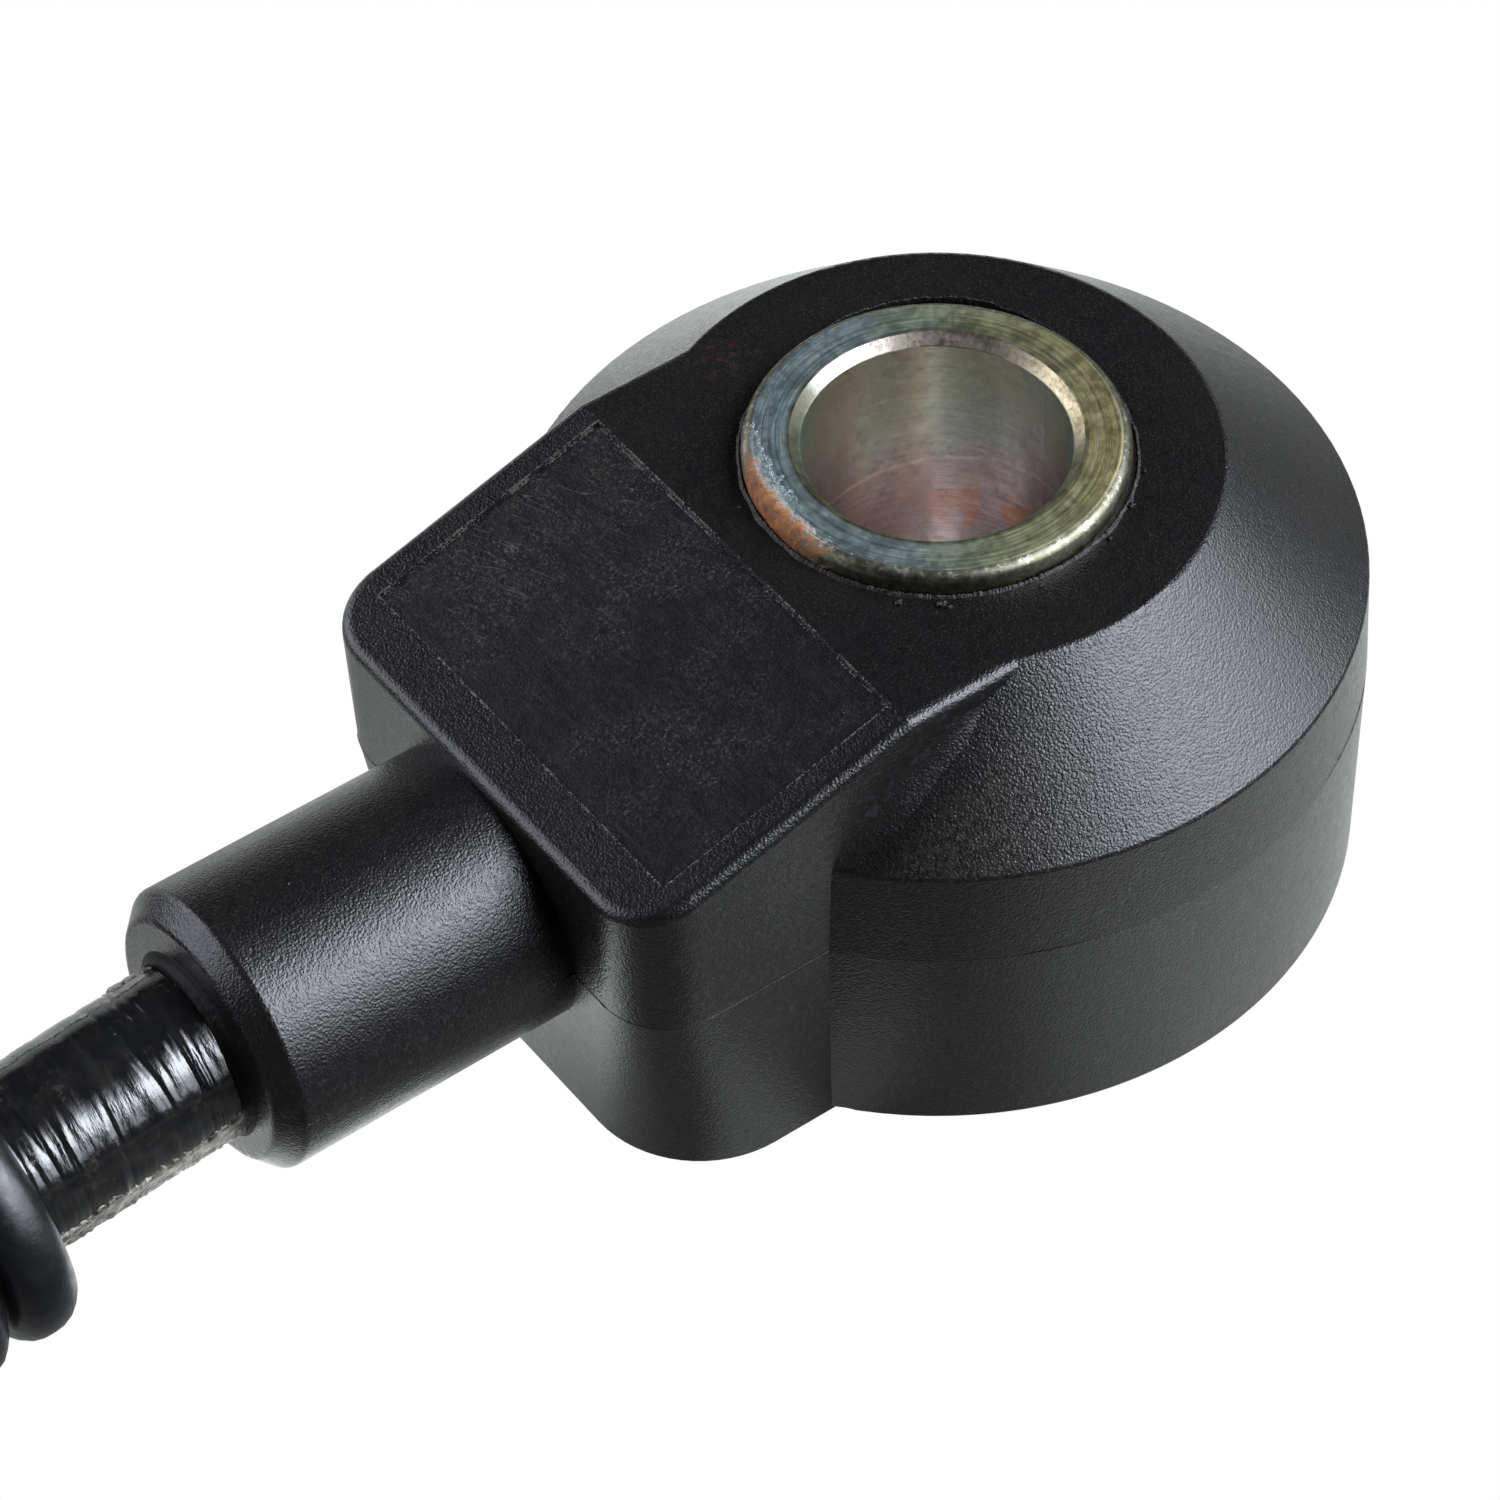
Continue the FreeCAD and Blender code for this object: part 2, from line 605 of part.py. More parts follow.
def boss_outline(name, level, end, half, corner):
    """A block outline from the bore axis to the end face, with two rounded corners."""
    q = new_sketch(boss, name, "XY_Plane", level)
    x1, hy, r = -ex(end), ex(half), ex(corner)
    g = [
        Part.LineSegment(V(0, -hy, 0), V(0, hy, 0)),
        Part.LineSegment(V(0, hy, 0), V(x1 + r, hy, 0)),
        Part.ArcOfCircle(Part.Circle(V(x1 + r, hy - r, 0), V(0, 0, 1), r), math.pi / 2, math.pi),
        Part.LineSegment(V(x1, hy - r, 0), V(x1, -hy + r, 0)),
        Part.ArcOfCircle(Part.Circle(V(x1 + r, -hy + r, 0), V(0, 0, 1), r), math.pi, 1.5 * math.pi),
        Part.LineSegment(V(x1 + r, -hy, 0), V(0, -hy, 0)),
    ]
    for e in g:
        q.addGeometry(e)
    C = Sketcher.Constraint
    for a, ea, b, eb in ((0, 2, 1, 1), (1, 2, 2, 1), (2, 2, 3, 1), (3, 2, 4, 1), (4, 2, 5, 1), (5, 2, 0, 1)):
        if {a, b} & {2, 4}:
            q.addConstraint(C("Tangent", a, ea, b, eb))
        else:
            q.addConstraint(C("Coincident", a, ea, b, eb))
    q.addConstraint(C("PointOnObject", 0, 1, -2))
    q.addConstraint(C("Vertical", 0))
    q.addConstraint(C("Horizontal", 1))
    q.addConstraint(C("Horizontal", 5))
    q.addConstraint(C("Vertical", 3))
    i = q.addConstraint(C("DistanceY", -1, 1, 0, 2, hy))
    q.setExpression("Constraints[%d]" % i, bound(half))
    i = q.addConstraint(C("DistanceY", 0, 1, -1, 1, hy))
    q.setExpression("Constraints[%d]" % i, bound(half))
    i = q.addConstraint(C("DistanceX", 3, 1, -1, 1, -x1))
    q.setExpression("Constraints[%d]" % i, bound(end))
    i = q.addConstraint(C("Radius", 2, r))
    q.setExpression("Constraints[%d]" % i, bound(corner))
    q.addConstraint(C("Equal", 2, 4))
    return q


low_outline = boss_outline("boss_low_outline", "shell_foot", "boss_end_low", "boss_half_low", "boss_corner_low")
mid_outline = boss_outline("boss_mid_outline", "parting_height", "boss_end_mid", "boss_half_mid", "boss_corner_mid")
top_outline = boss_outline("boss_top_outline", "head_top", "boss_end_top", "boss_half_top", "boss_corner_top")
loft = boss.newObject("PartDesign::AdditiveLoft", "boss_loft")
loft.Profile = low_outline
loft.Sections = [mid_outline, top_outline]
loft.Ruled = True
doc.recompute()
s = new_sketch(boss, "boss_ramp_outline", "XZ_Plane")
polygon(s, RAMP)
boss_ramp = pocket(boss, s, "boss_ramp", "40", middle=True)
doc.recompute()


def on_top_outline(e):
    """The outer edges of the boss's flat and sloping top."""
    mid = e.valueAt((e.FirstParameter + e.LastParameter) / 2)
    ends = [v.Point for v in e.Vertexes]
    high = lambda p: D["head_top"] - max(0.0, -p.x - D["ramp_start"]) * D["ramp_slope"]
    on_top = all(abs(p.z - high(p)) < 0.02 for p in ends + [mid])
    inner = all(abs(p.x) < 0.01 for p in ends)
    across = all(abs(p.x + D["ramp_start"]) < 0.01 for p in ends)
    return on_top and not inner and not across


round_edges(boss, boss_ramp, "boss_top_edges", on_top_outline, "boss_edge")
doc.recompute()

# spout: round, a little wider at its chamfered end
spout = new_body("housing_spout")
s = new_sketch(spout, "spout_profile", "XZ_Plane")
rounded_outline(
    s,
    [
        ("-12", "spout_height", None),
        ("-12", "spout_height + spout_radius", None),
        ("-spout_end + spout_chamfer", "spout_height + spout_mouth_radius", "spout_round"),
        ("-spout_end", "spout_height + spout_mouth_radius - spout_chamfer", "spout_round"),
        ("-spout_end", "spout_height", None),
    ],
)
r = spout.newObject("PartDesign::Revolution", "spout_turned")
r.Profile = s
r.ReferenceAxis = (s, ["Axis0"])
r.Angle = 360.0
# the axis of the spout is the lower line of its profile, kept as a construction line
k = s.addGeometry(Part.LineSegment(V(-30, D["spout_height"], 0), V(-5, D["spout_height"], 0)), True)
s.addConstraint(Sketcher.Constraint("Horizontal", k))
pin_point(s, k, 1, "-30", "spout_height")
i = s.addConstraint(Sketcher.Constraint("DistanceX", k, 1, k, 2, 25.0))
doc.recompute()

# Each side of the boss runs into the cone in a soft hollow: a web whose rounding grows from nothing at the rim, is widest
# half way up and dies out again under the flat top. Its back lies inside the head and the boss.
WEB = [(12.66, 0.16), (12.95, 0.55), (13.5, 1.05), (14.3, 1.55), (15.2, 1.8), (15.9, 1.5), (16.3, 0.9), (16.52, 0.3)]


def web(name, side):
    half = D["boss_half_top"]
    fall = (D["head_radius"] - D["head_top_radius"]) / (D["head_top"] - D["cone_foot"])
    lean = math.hypot(1.0, fall)
    n1 = V(0, side, 0)
    wires = []
    for z, r in WEB:
        y = side * (half + r)
        rc = D["head_radius"] - fall * (z - D["cone_foot"]) + r * lean
        x = -math.sqrt(rc * rc - y * y)
        c = V(x, y, z)
        n2 = V(x / rc, y / rc, fall) * (1.0 / lean)
        middle = (n1 + n2).normalize()
        a, b, m = c - n1 * (r + 0.03), c - n2 * (r + 0.03), c - middle * r
        deep = c - middle * (r / math.cos(n1.getAngle(n2) / 2) + 0.7)
        wires.append(Part.Wire([Part.Arc(a, m, b).toShape(), Part.LineSegment(b, deep).toShape(), Part.LineSegment(deep, a).toShape()]))
    o = doc.addObject("Part::Feature", name)
    o.Shape = Part.makeLoft(wires, True, False)
    print("%s %.3f mm3, valid %s" % (name, o.Shape.Volume, o.Shape.isValid()))
    return o


webs = [web("housing_web_1", -1), web("housing_web_2", 1)]

form = doc.addObject("Part::MultiFuse", "housing_form")
form.Shapes = [head, boss, spout, *webs]
form.Refine = True
doc.recompute()

# blank recess for a label, parallel to the ramp
recess = new_body("housing_recess")
s = new_sketch(recess, "recess_profile", "XZ_Plane")
near, far = "recess_near - ramp_start", "recess_far - ramp_start"
z_near = "head_top - recess_depth - ramp_slope * recess_near + ramp_slope * ramp_start"
z_far = "head_top - recess_depth - ramp_slope * recess_far + ramp_slope * ramp_start"
polygon(s, [("-recess_near", z_near), ("-recess_near", "head_top + 2"), ("-recess_far", "head_top + 2"), ("-recess_far", z_far)])
pad(recess, s, "recess_block", "2 * recess_half", middle=True)

# annulus round the cable at the mouth of the spout
gland = doc.addObject("Part::Cylinder", "housing_gland")
gland.setExpression("Radius", bound("gland_radius"))
gland.Height = 5.0
gland_z = 8.82
gland.Placement = FreeCAD.Placement(V(-D["spout_end"] + D["gland_depth"], 0, gland_z), FreeCAD.Rotation(V(0, 1, 0), -90))

stack = doc.addObject("Part::MultiFuse", "housing_stack")
stack.Shapes = [
    sleeve,
    insulating_tube,
    lower_insulator,
    lower_contact,
    piezo_ring,
    upper_contact,
    upper_insulator,
    seismic_mass,
    disc_spring,
    clamp_nut,
]
leads = doc.addObject("Part::MultiFuse", "housing_leads")
leads.Shapes = [*conductors, *cores, *crimps, cable]
bolt = doc.addObject("Part::Cylinder", "housing_bore")
bolt.setExpression("Radius", bound("bore_radius + 1"))
bolt.Height = 40.0
bolt.Placement = FreeCAD.Placement(V(0, 0, -10), FreeCAD.Rotation())
doc.recompute()

h1 = doc.addObject("Part::Cut", "housing_recessed")
h1.Base, h1.Tool = form, recess
h2 = doc.addObject("Part::Cut", "housing_glanded")
h2.Base, h2.Tool = h1, gland
h3 = doc.addObject("Part::Cut", "housing_bored")
h3.Base, h3.Tool = h2, bolt
h4 = doc.addObject("Part::Cut", "housing_on_stack")
h4.Base, h4.Tool = h3, stack
h5 = doc.addObject("Part::Cut", "housing_on_leads")
h5.Base, h5.Tool = h4, leads
doc.recompute()
# The plastic flows round the stack and not into the closed gaps inside it, so those stay empty.
housing = doc.addObject("Part::Feature", "housing")
housing.Label = "housing"
pieces = sorted(h5.Shape.Solids, key=lambda q: q.Volume)
print("housing %.1f mm3, closed gaps %s mm3" % (pieces[-1].Volume, [round(q.Volume, 2) for q in pieces[:-1]]))
housing.Shape = pieces[-1]

# --------------------------------------------------------------------------- connector
PX, PZ = D["plug_x"], D["plug_z"]
Y0, Y1, HW, TALL, WALL = D["plug_front"], D["plug_back"], D["plug_half"], D["plug_tall"], D["plug_wall"]


def along_y(name, radius, y0, y1, x, z):
    c = doc.addObject("Part::Cylinder", name)
    c.setExpression("Radius", bound(radius))
    c.Height = y1 - y0
    c.Placement = FreeCAD.Placement(V(x, y0, z), FreeCAD.Rotation(V(1, 0, 0), -90))
    return c


def fuse(name, shapes):
    f = doc.addObject("Part::MultiFuse", name)
    f.Shapes = shapes
    f.Refine = True
    return f


def cut(name, base, tool, label=None):
    c = doc.addObject("Part::Cut", name)
    c.Base, c.Tool = base, tool
    c.Refine = True
    if label:
        c.Label = label
    return c


def edge_fillet(name, base, test, radius):
    doc.recompute()
    f = doc.addObject("Part::Fillet", name)
    f.Base = base
    f.Edges = [(i + 1, radius, radius) for i, e in enumerate(base.Shape.Edges) if test(e)]
    doc.recompute()
    return f


def runs_along_y(e):
    return len(e.Vertexes) == 2 and isinstance(e.Curve, Part.Line) and abs(e.Vertexes[0].Y - e.Vertexes[1].Y) > 0.9 * e.Length


block = box("plug_block", PX - HW, PX + HW, Y0, Y1, 0.0, TALL)
block_r = edge_fillet("plug_block_round", block, runs_along_y, 1.6)
# latch ramp on top, and a guide rib down each side
latch = new_body("plug_latch")
s = new_sketch(latch, "latch_profile", "YZ_Plane")
rectangle(s, "plug_front + 8", "plug_front + 11.5", "plug_tall - 0.6", "plug_tall + 1.5")
lp = pad(latch, s, "latch_block", "6", middle=True)
doc.recompute()
bevel = latch.newObject("PartDesign::Chamfer", "latch_bevel")
bevel.Base = (
    lp,
    edges_where(
        lp.Shape,
        lambda e: abs(e.BoundBox.YMin - D["plug_front"] - 8) < 0.01
        and abs(e.BoundBox.YMax - D["plug_front"] - 8) < 0.01
        and e.BoundBox.ZMin > D["plug_tall"] + 1.4,
    ),
)
bevel.Size = 1.3
latch.Placement = FreeCAD.Placement(V(PX, 0, 0), FreeCAD.Rotation())
rib_a = box("plug_rib_a", PX - HW - 0.8, PX - HW + 0.6, Y0, Y0 + 20, PZ - 0.8, PZ + 0.8)
rib_b = box("plug_rib_b", PX + HW - 0.6, PX + HW + 0.8, Y0, Y0 + 20, PZ - 0.8, PZ + 0.8)
collar = box("plug_collar", PX - HW - 0.7, PX + HW + 0.7, Y0 + 20, Y0 + 22.5, 0.0, TALL + 0.7)
outer = fuse("plug_outer", [block_r, latch, rib_a, rib_b, collar])
mouth = box("plug_mouth", PX - HW + WALL, PX + HW - WALL, Y0 - 1, Y0 + 17, WALL, TALL - WALL)
mouth_r = edge_fillet("plug_mouth_round", mouth, runs_along_y, 0.9)
seat = box("plug_seat", PX - HW + 1.1, PX + HW - 1.1, Y1 - 6, Y1 + 1, 1.1, TALL - 1.1)
seat_r = edge_fillet("plug_seat_round", seat, runs_along_y, 1.2)
room = box("plug_room", PX - 5.2, PX + 5.2, Y0 + 23, Y1 - 6, 2.4, TALL - 2.4)
holes = [
    along_y("plug_hole_%d" % k, "pin_radius", Y0 + 16, Y0 + 24, PX + side * D["pin_pitch"] / 2, PZ)
    for k, side in ((1, -1), (2, 1))
]
lock_slot = box("plug_lock_slot", PX - HW - 1, PX + HW + 1, Y0 + 18.2, Y0 + 19.8, PZ + 1.6, PZ + 3.6)
voids = fuse("plug_voids", [mouth_r, seat_r, room, *holes, lock_slot])
connector_housing = cut("connector_housing", outer, voids, "connector_housing")

pin_lock = box("pin_lock", PX - HW - 0.6, PX + HW + 0.6, Y0 + 18.2, Y0 + 19.8, PZ + 1.6, PZ + 3.6)
pin_lock.Label = "pin_lock"

pins, plug_cores = [], []
for k, side in ((1, -1), (2, 1)):
    x = PX + side * D["pin_pitch"] / 2
    blade = along_y("pin_%d_blade" % k, "pin_radius", Y0 + 4.6, Y0 + 24, x, PZ)
    tip = doc.addObject("Part::Cone", "pin_%d_tip" % k)
    tip.setExpression("Radius1", bound("pin_radius"))
    tip.Radius2 = 0.3
    tip.Height = 0.9
    tip.Placement = FreeCAD.Placement(V(x, Y0 + 4.6, PZ), FreeCAD.Rotation(V(1, 0, 0), 90))
    barrel = along_y("pin_%d_barrel" % k, "pin_radius + 0.55", Y0 + 23, Y0 + 27.5, x, PZ)
    pin_form = fuse("pin_%d_form" % k, [blade, tip, barrel])
    bore = along_y("pin_%d_bore" % k, "core_radius", Y0 + 24.5, Y0 + 30, x, PZ)
    pins.append(cut("pin_%d" % k, pin_form, bore, "pin_%d" % k))

# The two cores spread from the jacket's end to the pins.
end = V(*ROUTE[-1])
for k, side in ((3, -1), (4, 1)):
    x = PX + side * D["pin_pitch"] / 2
    x1 = PX + side * D["tab_offset"]
    a, b = V(x1, end.y, PZ), V(x1, end.y - 0.7, PZ)
    c, d = V(x, Y0 + 28.4, PZ), V(x, Y0 + 24.5, PZ)
    u1, u2 = (b - a).normalize(), (c - b).normalize()
    edges, here, q = [], a, [a, b, c, d]
    for i in (1, 2):
        u1, u2 = (q[i] - q[i - 1]).normalize(), (q[i + 1] - q[i]).normalize()
        turn = u1.getAngle(u2)
        t = 0.45 * min((q[i] - q[i - 1]).Length, (q[i + 1] - q[i]).Length)
        r_ = t / math.tan(turn / 2)
        m = q[i] + (u2 - u1).normalize() * (r_ / math.cos(turn / 2))
        pa, pb = q[i] - u1 * t, q[i] + u2 * t
        pm = m + (q[i] - m).normalize() * r_
        edges += [Part.LineSegment(here, pa).toShape(), Part.Arc(pa, pm, pb).toShape()]
        here = pb
    edges.append(Part.LineSegment(here, d).toShape())
    wire = Part.Wire(edges)
    section = Part.Wire([Part.Circle(a, V(0, -1, 0), D["core_radius"]).toShape()])
    o = doc.addObject("Part::Feature", "core_%d" % k)
    o.Label = "core_%d" % k
    o.Shape = wire.makePipeShell([section], True, False)
    plug_cores.append(o)

# rubber seal with two lips, filling the seat round the cable
seal_block = box("seal_block", PX - HW + 1.1, PX + HW - 1.1, Y1 - 6, Y1, 1.1, TALL - 1.1)
seal_r = edge_fillet("seal_round", seal_block, runs_along_y, 1.2)
seal_hole = along_y("seal_hole", "cable_radius", Y1 - 7, Y1 + 1, PX, PZ)
wire_seal = cut("wire_seal", seal_r, seal_hole, "wire_seal")

# rear cap with two snap arms that grip the housing's collar
cap_plate = box("cap_plate", PX - HW - 0.9, PX + HW + 0.9, Y1, Y1 + 3, 0.0, TALL)
cap_r = edge_fillet("cap_plate_round", cap_plate, runs_along_y, 1.6)
arm_a = box("cap_arm_a", PX - HW - 0.9, PX - HW, Y1 - 9, Y1 + 1.5, PZ - 2.6, PZ + 2.6)
arm_b = box("cap_arm_b", PX + HW, PX + HW + 0.9, Y1 - 9, Y1 + 1.5, PZ - 2.6, PZ + 2.6)
spigot = along_y("cap_spigot", "cable_radius + 1.1", Y1 + 2, Y1 + 6.5, PX, PZ)
cap_form = fuse("cap_form", [cap_r, arm_a, arm_b, spigot])
cap_hole = along_y("cap_hole", "cable_radius", Y1 - 1, Y1 + 8, PX, PZ)
connector_cap = cut("connector_cap", cap_form, cap_hole, "connector_cap")
doc.recompute()

# --------------------------------------------------------------------------- checks and export
nodes = [
    housing,
    sleeve,
    insulating_tube,
    lower_insulator,
    lower_contact,
    piezo_ring,
    upper_contact,
    upper_insulator,
    seismic_mass,
    disc_spring,
    clamp_nut,
    *crimps,
    *conductors,
    *cores,
    cable,
    conduit,
    connector_housing,
    connector_cap,
    wire_seal,
    pin_lock,
    *pins,
    *plug_cores,
]
for o in doc.Objects:
    if "Invalid" in o.State or "Error" in o.State:
        raise RuntimeError("%s failed: %s" % (o.Name, o.State))
for n in nodes:
    if n.Shape.isNull() or not n.Shape.isValid():
        raise RuntimeError("%s has no valid shape" % n.Label)
    if len(n.Shape.Solids) != 1:
        raise RuntimeError("%s has %d solids" % (n.Label, len(n.Shape.Solids)))
    bb = n.Shape.BoundBox
    print(
        "%-18s %9.2f mm3  x %.2f..%.2f y %.2f..%.2f z %.2f..%.2f"
        % (n.Label, n.Shape.Volume, bb.XMin, bb.XMax, bb.YMin, bb.YMax, bb.ZMin, bb.ZMax)
    )

os.makedirs("parts", exist_ok=True)
for n in nodes:
    n.Shape.exportStep("parts/%s.step" % n.Label)
print("%d nodes" % len(nodes))
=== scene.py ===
"""Looks of an engine knock sensor: a black moulded head on a plated steel sleeve, with its lead in corrugated conduit.

Metres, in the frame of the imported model: Z is the axis of the bolt bore and the lead leaves towards -X.
"""

import math
import random

import bmesh
import bpy
import numpy as np
from mathutils import Matrix, Vector, noise


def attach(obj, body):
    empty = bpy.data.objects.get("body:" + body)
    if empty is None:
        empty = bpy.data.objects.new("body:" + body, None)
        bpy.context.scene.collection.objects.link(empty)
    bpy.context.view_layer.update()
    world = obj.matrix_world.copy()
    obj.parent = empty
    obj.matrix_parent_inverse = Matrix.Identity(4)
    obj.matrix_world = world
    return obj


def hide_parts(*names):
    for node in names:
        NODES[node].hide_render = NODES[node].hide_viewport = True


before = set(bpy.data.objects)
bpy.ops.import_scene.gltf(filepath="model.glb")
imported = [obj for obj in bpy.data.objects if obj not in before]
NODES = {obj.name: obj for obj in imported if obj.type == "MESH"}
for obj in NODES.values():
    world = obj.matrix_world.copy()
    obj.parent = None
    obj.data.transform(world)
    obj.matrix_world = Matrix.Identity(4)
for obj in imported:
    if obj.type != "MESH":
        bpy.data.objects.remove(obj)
bpy.context.view_layer.update()
MM = 0.001
scene = bpy.context.scene


# ------------------------------------------------------------------------------------------ camera
def photo_axes():
    """Right, up and back of the view, from its azimuth, elevation and roll."""
    el, th, roll = (math.radians(a) for a in (47.736, 35.385, -1.241))
    right = Vector((math.cos(th), -math.sin(th), 0))
    away = Vector((math.sin(th), math.cos(th), 0))
    up = away * math.sin(el) + Vector((0, 0, math.cos(el)))
    back = -away * math.cos(el) + Vector((0, 0, math.sin(el)))
    r = right * math.cos(roll) + up * math.sin(roll)
    u = up * math.cos(roll) - right * math.sin(roll)
    return right, away, r, u, back


RIGHT, AWAY, CAM_R, CAM_U, CAM_B = photo_axes()


def make_camera():
    data = bpy.data.cameras.new("photo_camera")
    data.sensor_width = 36.0
    data.lens = 6891.56 / 1500 * 36.0
    data.clip_start, data.clip_end = 0.01, 20.0
    cam = bpy.data.objects.new("photo_camera", data)
    scene.collection.objects.link(cam)
    place = (CAM_B * 210.112 - CAM_R * 5.696 - CAM_U * 9.744 + Vector((0, 0, 18))) * MM
    m = Matrix((CAM_R, CAM_U, CAM_B)).transposed().to_4x4()
    m.translation = place
    cam.matrix_world = m
    scene.camera = cam
    return cam


CAM = make_camera()
scene.view_settings.view_transform = "Standard"

# ------------------------------------------------------------------------------------------ cords
# the same route as the solids of the cable and the conduit, in metres
ROUTE = [
    (-0.0200, 0.0000, 0.0090),
    (-0.0265, 0.0000, 0.0090),
    (-0.0390, 0.0000, 0.0075),
    (-0.0580, -0.0006, 0.0056),
    (-0.0810, 0.0004, 0.0050),
    (-0.1085, 0.0022, 0.0050),
    (-0.1338, 0.0169, 0.0050),
    (-0.1482, 0.0418, 0.0050),
    (-0.1476, 0.0708, 0.0050),
    (-0.1332, 0.0956, 0.0050),
    (-0.1084, 0.1096, 0.0050),
    (-0.0796, 0.1102, 0.0050),
    (-0.0544, 0.0958, 0.0050),
    (-0.0400, 0.0706, 0.0060),
    (-0.0400, 0.0422, 0.0060),
]
CABLE_R = 0.0028
SPOUT_FACE = -0.0277
CONDUIT_X = -0.0349


def route_line():
    """The lead's centreline, as the points of a smooth spline through the route."""
    data = bpy.data.curves.new("lead_line", "CURVE")
    data.dimensions = "3D"
    s = data.splines.new("NURBS")
    s.points.add(len(ROUTE) - 1)
    for p, q in zip(s.points, ROUTE):
        p.co = (*q, 1.0)
    s.order_u = 3
    s.use_endpoint_u = True
    s.resolution_u = 48
    data.resolution_u = 48
    line = bpy.data.objects.new("lead_line", data)
    scene.collection.objects.link(line)
    bpy.context.view_layer.update()
    mesh = bpy.data.meshes.new_from_object(line.evaluated_get(bpy.context.evaluated_depsgraph_get()))
    pts = np.array([v.co for v in mesh.vertices], float)
    bpy.data.objects.remove(line)
    bpy.data.meshes.remove(mesh)
    return pts


LINE = route_line()
STEP = np.linalg.norm(np.diff(LINE, axis=0), axis=1)
AT = np.concatenate([[0.0], np.cumsum(STEP)])
LENGTH = float(AT[-1])


def point_at(s):
    """Points on the centreline at distances s along it."""
    s = np.atleast_1d(s)
    return np.stack([np.interp(s, AT, LINE[:, k]) for k in range(3)], axis=1)


def frames_at(s):
    """Centre, tangent, side and up at distances s. Side stays level, so nothing twists."""
    c = point_at(s)
    t = point_at(np.minimum(s + 0.0006, LENGTH)) - point_at(np.maximum(s - 0.0006, 0.0))
    t /= np.linalg.norm(t, axis=1)[:, None]
    side = np.cross(t, (0.0, 0.0, 1.0))
    side /= np.linalg.norm(side, axis=1)[:, None]
    up = np.cross(side, t)
    return c, t, side, up


def distance_at_x(x):
    """How far along the centreline it first passes x."""
    k = int(np.argmax(LINE[:, 0] <= x))
    a, b = LINE[k - 1, 0], LINE[k, 0]
    return float(AT[k - 1] + STEP[k - 1] * (x - a) / (b - a))


def new_mesh(name, verts, faces, material=None, smooth=True):
    mesh = bpy.data.meshes.new(name)
    mesh.from_pydata([tuple(v) for v in verts], [], faces)
    mesh.validate()
    for p in mesh.polygons:
        p.use_smooth = smooth
    if material:
        mesh.materials.append(material)
    o = bpy.data.objects.new(name, mesh)
    scene.collection.objects.link(o)
    return o


def ring_faces(rings, n, closed=False, start=0):
    """Quads between successive rings of n points."""
    faces = []
    last = rings if closed else rings - 1
    for i in range(last):
        a, b = start + i * n, start + ((i + 1) % rings) * n
        for j in range(n):
            k = (j + 1) % n
            faces.append((a + j, a + k, b + k, b + j))
    return faces


def sweep(name, s, radius, n, closed=False, phase=0.0):
    """A tube along the centreline. radius is an array (len(s), n) or (len(s),)."""
    c, t, side, up = frames_at(s)
    a = np.linspace(0, 2 * math.pi, n, endpoint=False) + phase
    r = np.broadcast_to(radius if np.ndim(radius) == 2 else np.asarray(radius)[:, None], (len(s), n))
    ring = side[:, None, :] * np.cos(a)[None, :, None] + up[:, None, :] * np.sin(a)[None, :, None]
    v = (c[:, None, :] + ring * r[:, :, None]).reshape(-1, 3)
    faces = ring_faces(len(s), n, closed)
    if not closed:
        faces.append(tuple(range(n - 1, -1, -1)))
        faces.append(tuple(range((len(s) - 1) * n, len(s) * n)))
    return new_mesh(name, v, faces)


def smooth_noise(v, scale, seed=0.0):
    return noise.noise(Vector((v[0] * scale + seed, v[1] * scale - seed, v[2] * scale + 0.37 * seed)))


# the jacket: wrinkled and scored across, where it is bare between the spout and the conduit
S_SPOUT = distance_at_x(SPOUT_FACE)
S_LIP = distance_at_x(CONDUIT_X)
rng = np.random.default_rng(7)
N_CABLE = 96
fine = np.arange(S_SPOUT - 0.0006, S_LIP + 0.0020, 0.000055)
s_cable = np.concatenate([np.arange(0.0, fine[0], 0.0012), fine, np.arange(fine[-1] + 0.0012, LENGTH, 0.0018), [LENGTH]])
ang = np.linspace(0, 2 * math.pi, N_CABLE, endpoint=False)
shape = np.zeros((len(s_cable), N_CABLE))
marks = []
for _ in range(40):  # where, how wide, how deep, round which side, how far round, how much it leans
    marks.append(
        (
            rng.uniform(S_SPOUT - 0.0002, S_LIP + 0.0012),
            rng.uniform(0.000035, 0.000085),
            rng.uniform(0.000014, 0.000056) * rng.choice([1, 1, 1, -0.6]),
            rng.uniform(0, 2 * math.pi),
            rng.uniform(0.5, 2.2),
            rng.uniform(-0.00035, 0.00035),
        )
    )
for where, wide, deep, mid, reach, lean in marks:
    d = np.abs((ang - mid + math.pi) % (2 * math.pi) - math.pi)
    part = np.clip(1.3 - d / reach, 0, 1) ** 0.7
    off = s_cable[:, None] - where - lean * np.cos(ang)[None, :]
    shape -= deep * part[None, :] * np.exp(-((off / wide) ** 2))
calm = 1.0 - 0.7 * np.exp(-((((np.degrees(ang) - 66 + 180) % 360 - 180) / 28) ** 2))
shape *= calm[None, :]
for i, s in enumerate(s_cable):
    if fine[0] <= s <= fine[-1]:
        for j in range(N_CABLE):
            q = (s * 1000 * 1.5, math.cos(ang[j]) * 1.3, math.sin(ang[j]) * 1.3)
            q2 = (s * 1000 * 3.4, math.cos(ang[j]) * 2.6, math.sin(ang[j]) * 2.6)
            shape[i, j] += 0.000034 * smooth_noise(q, 1.0, 3.0) + 0.000010 * smooth_noise(q2, 1.0, 9.0)
cable = sweep("cable_jacket", s_cable, CABLE_R + shape, N_CABLE)

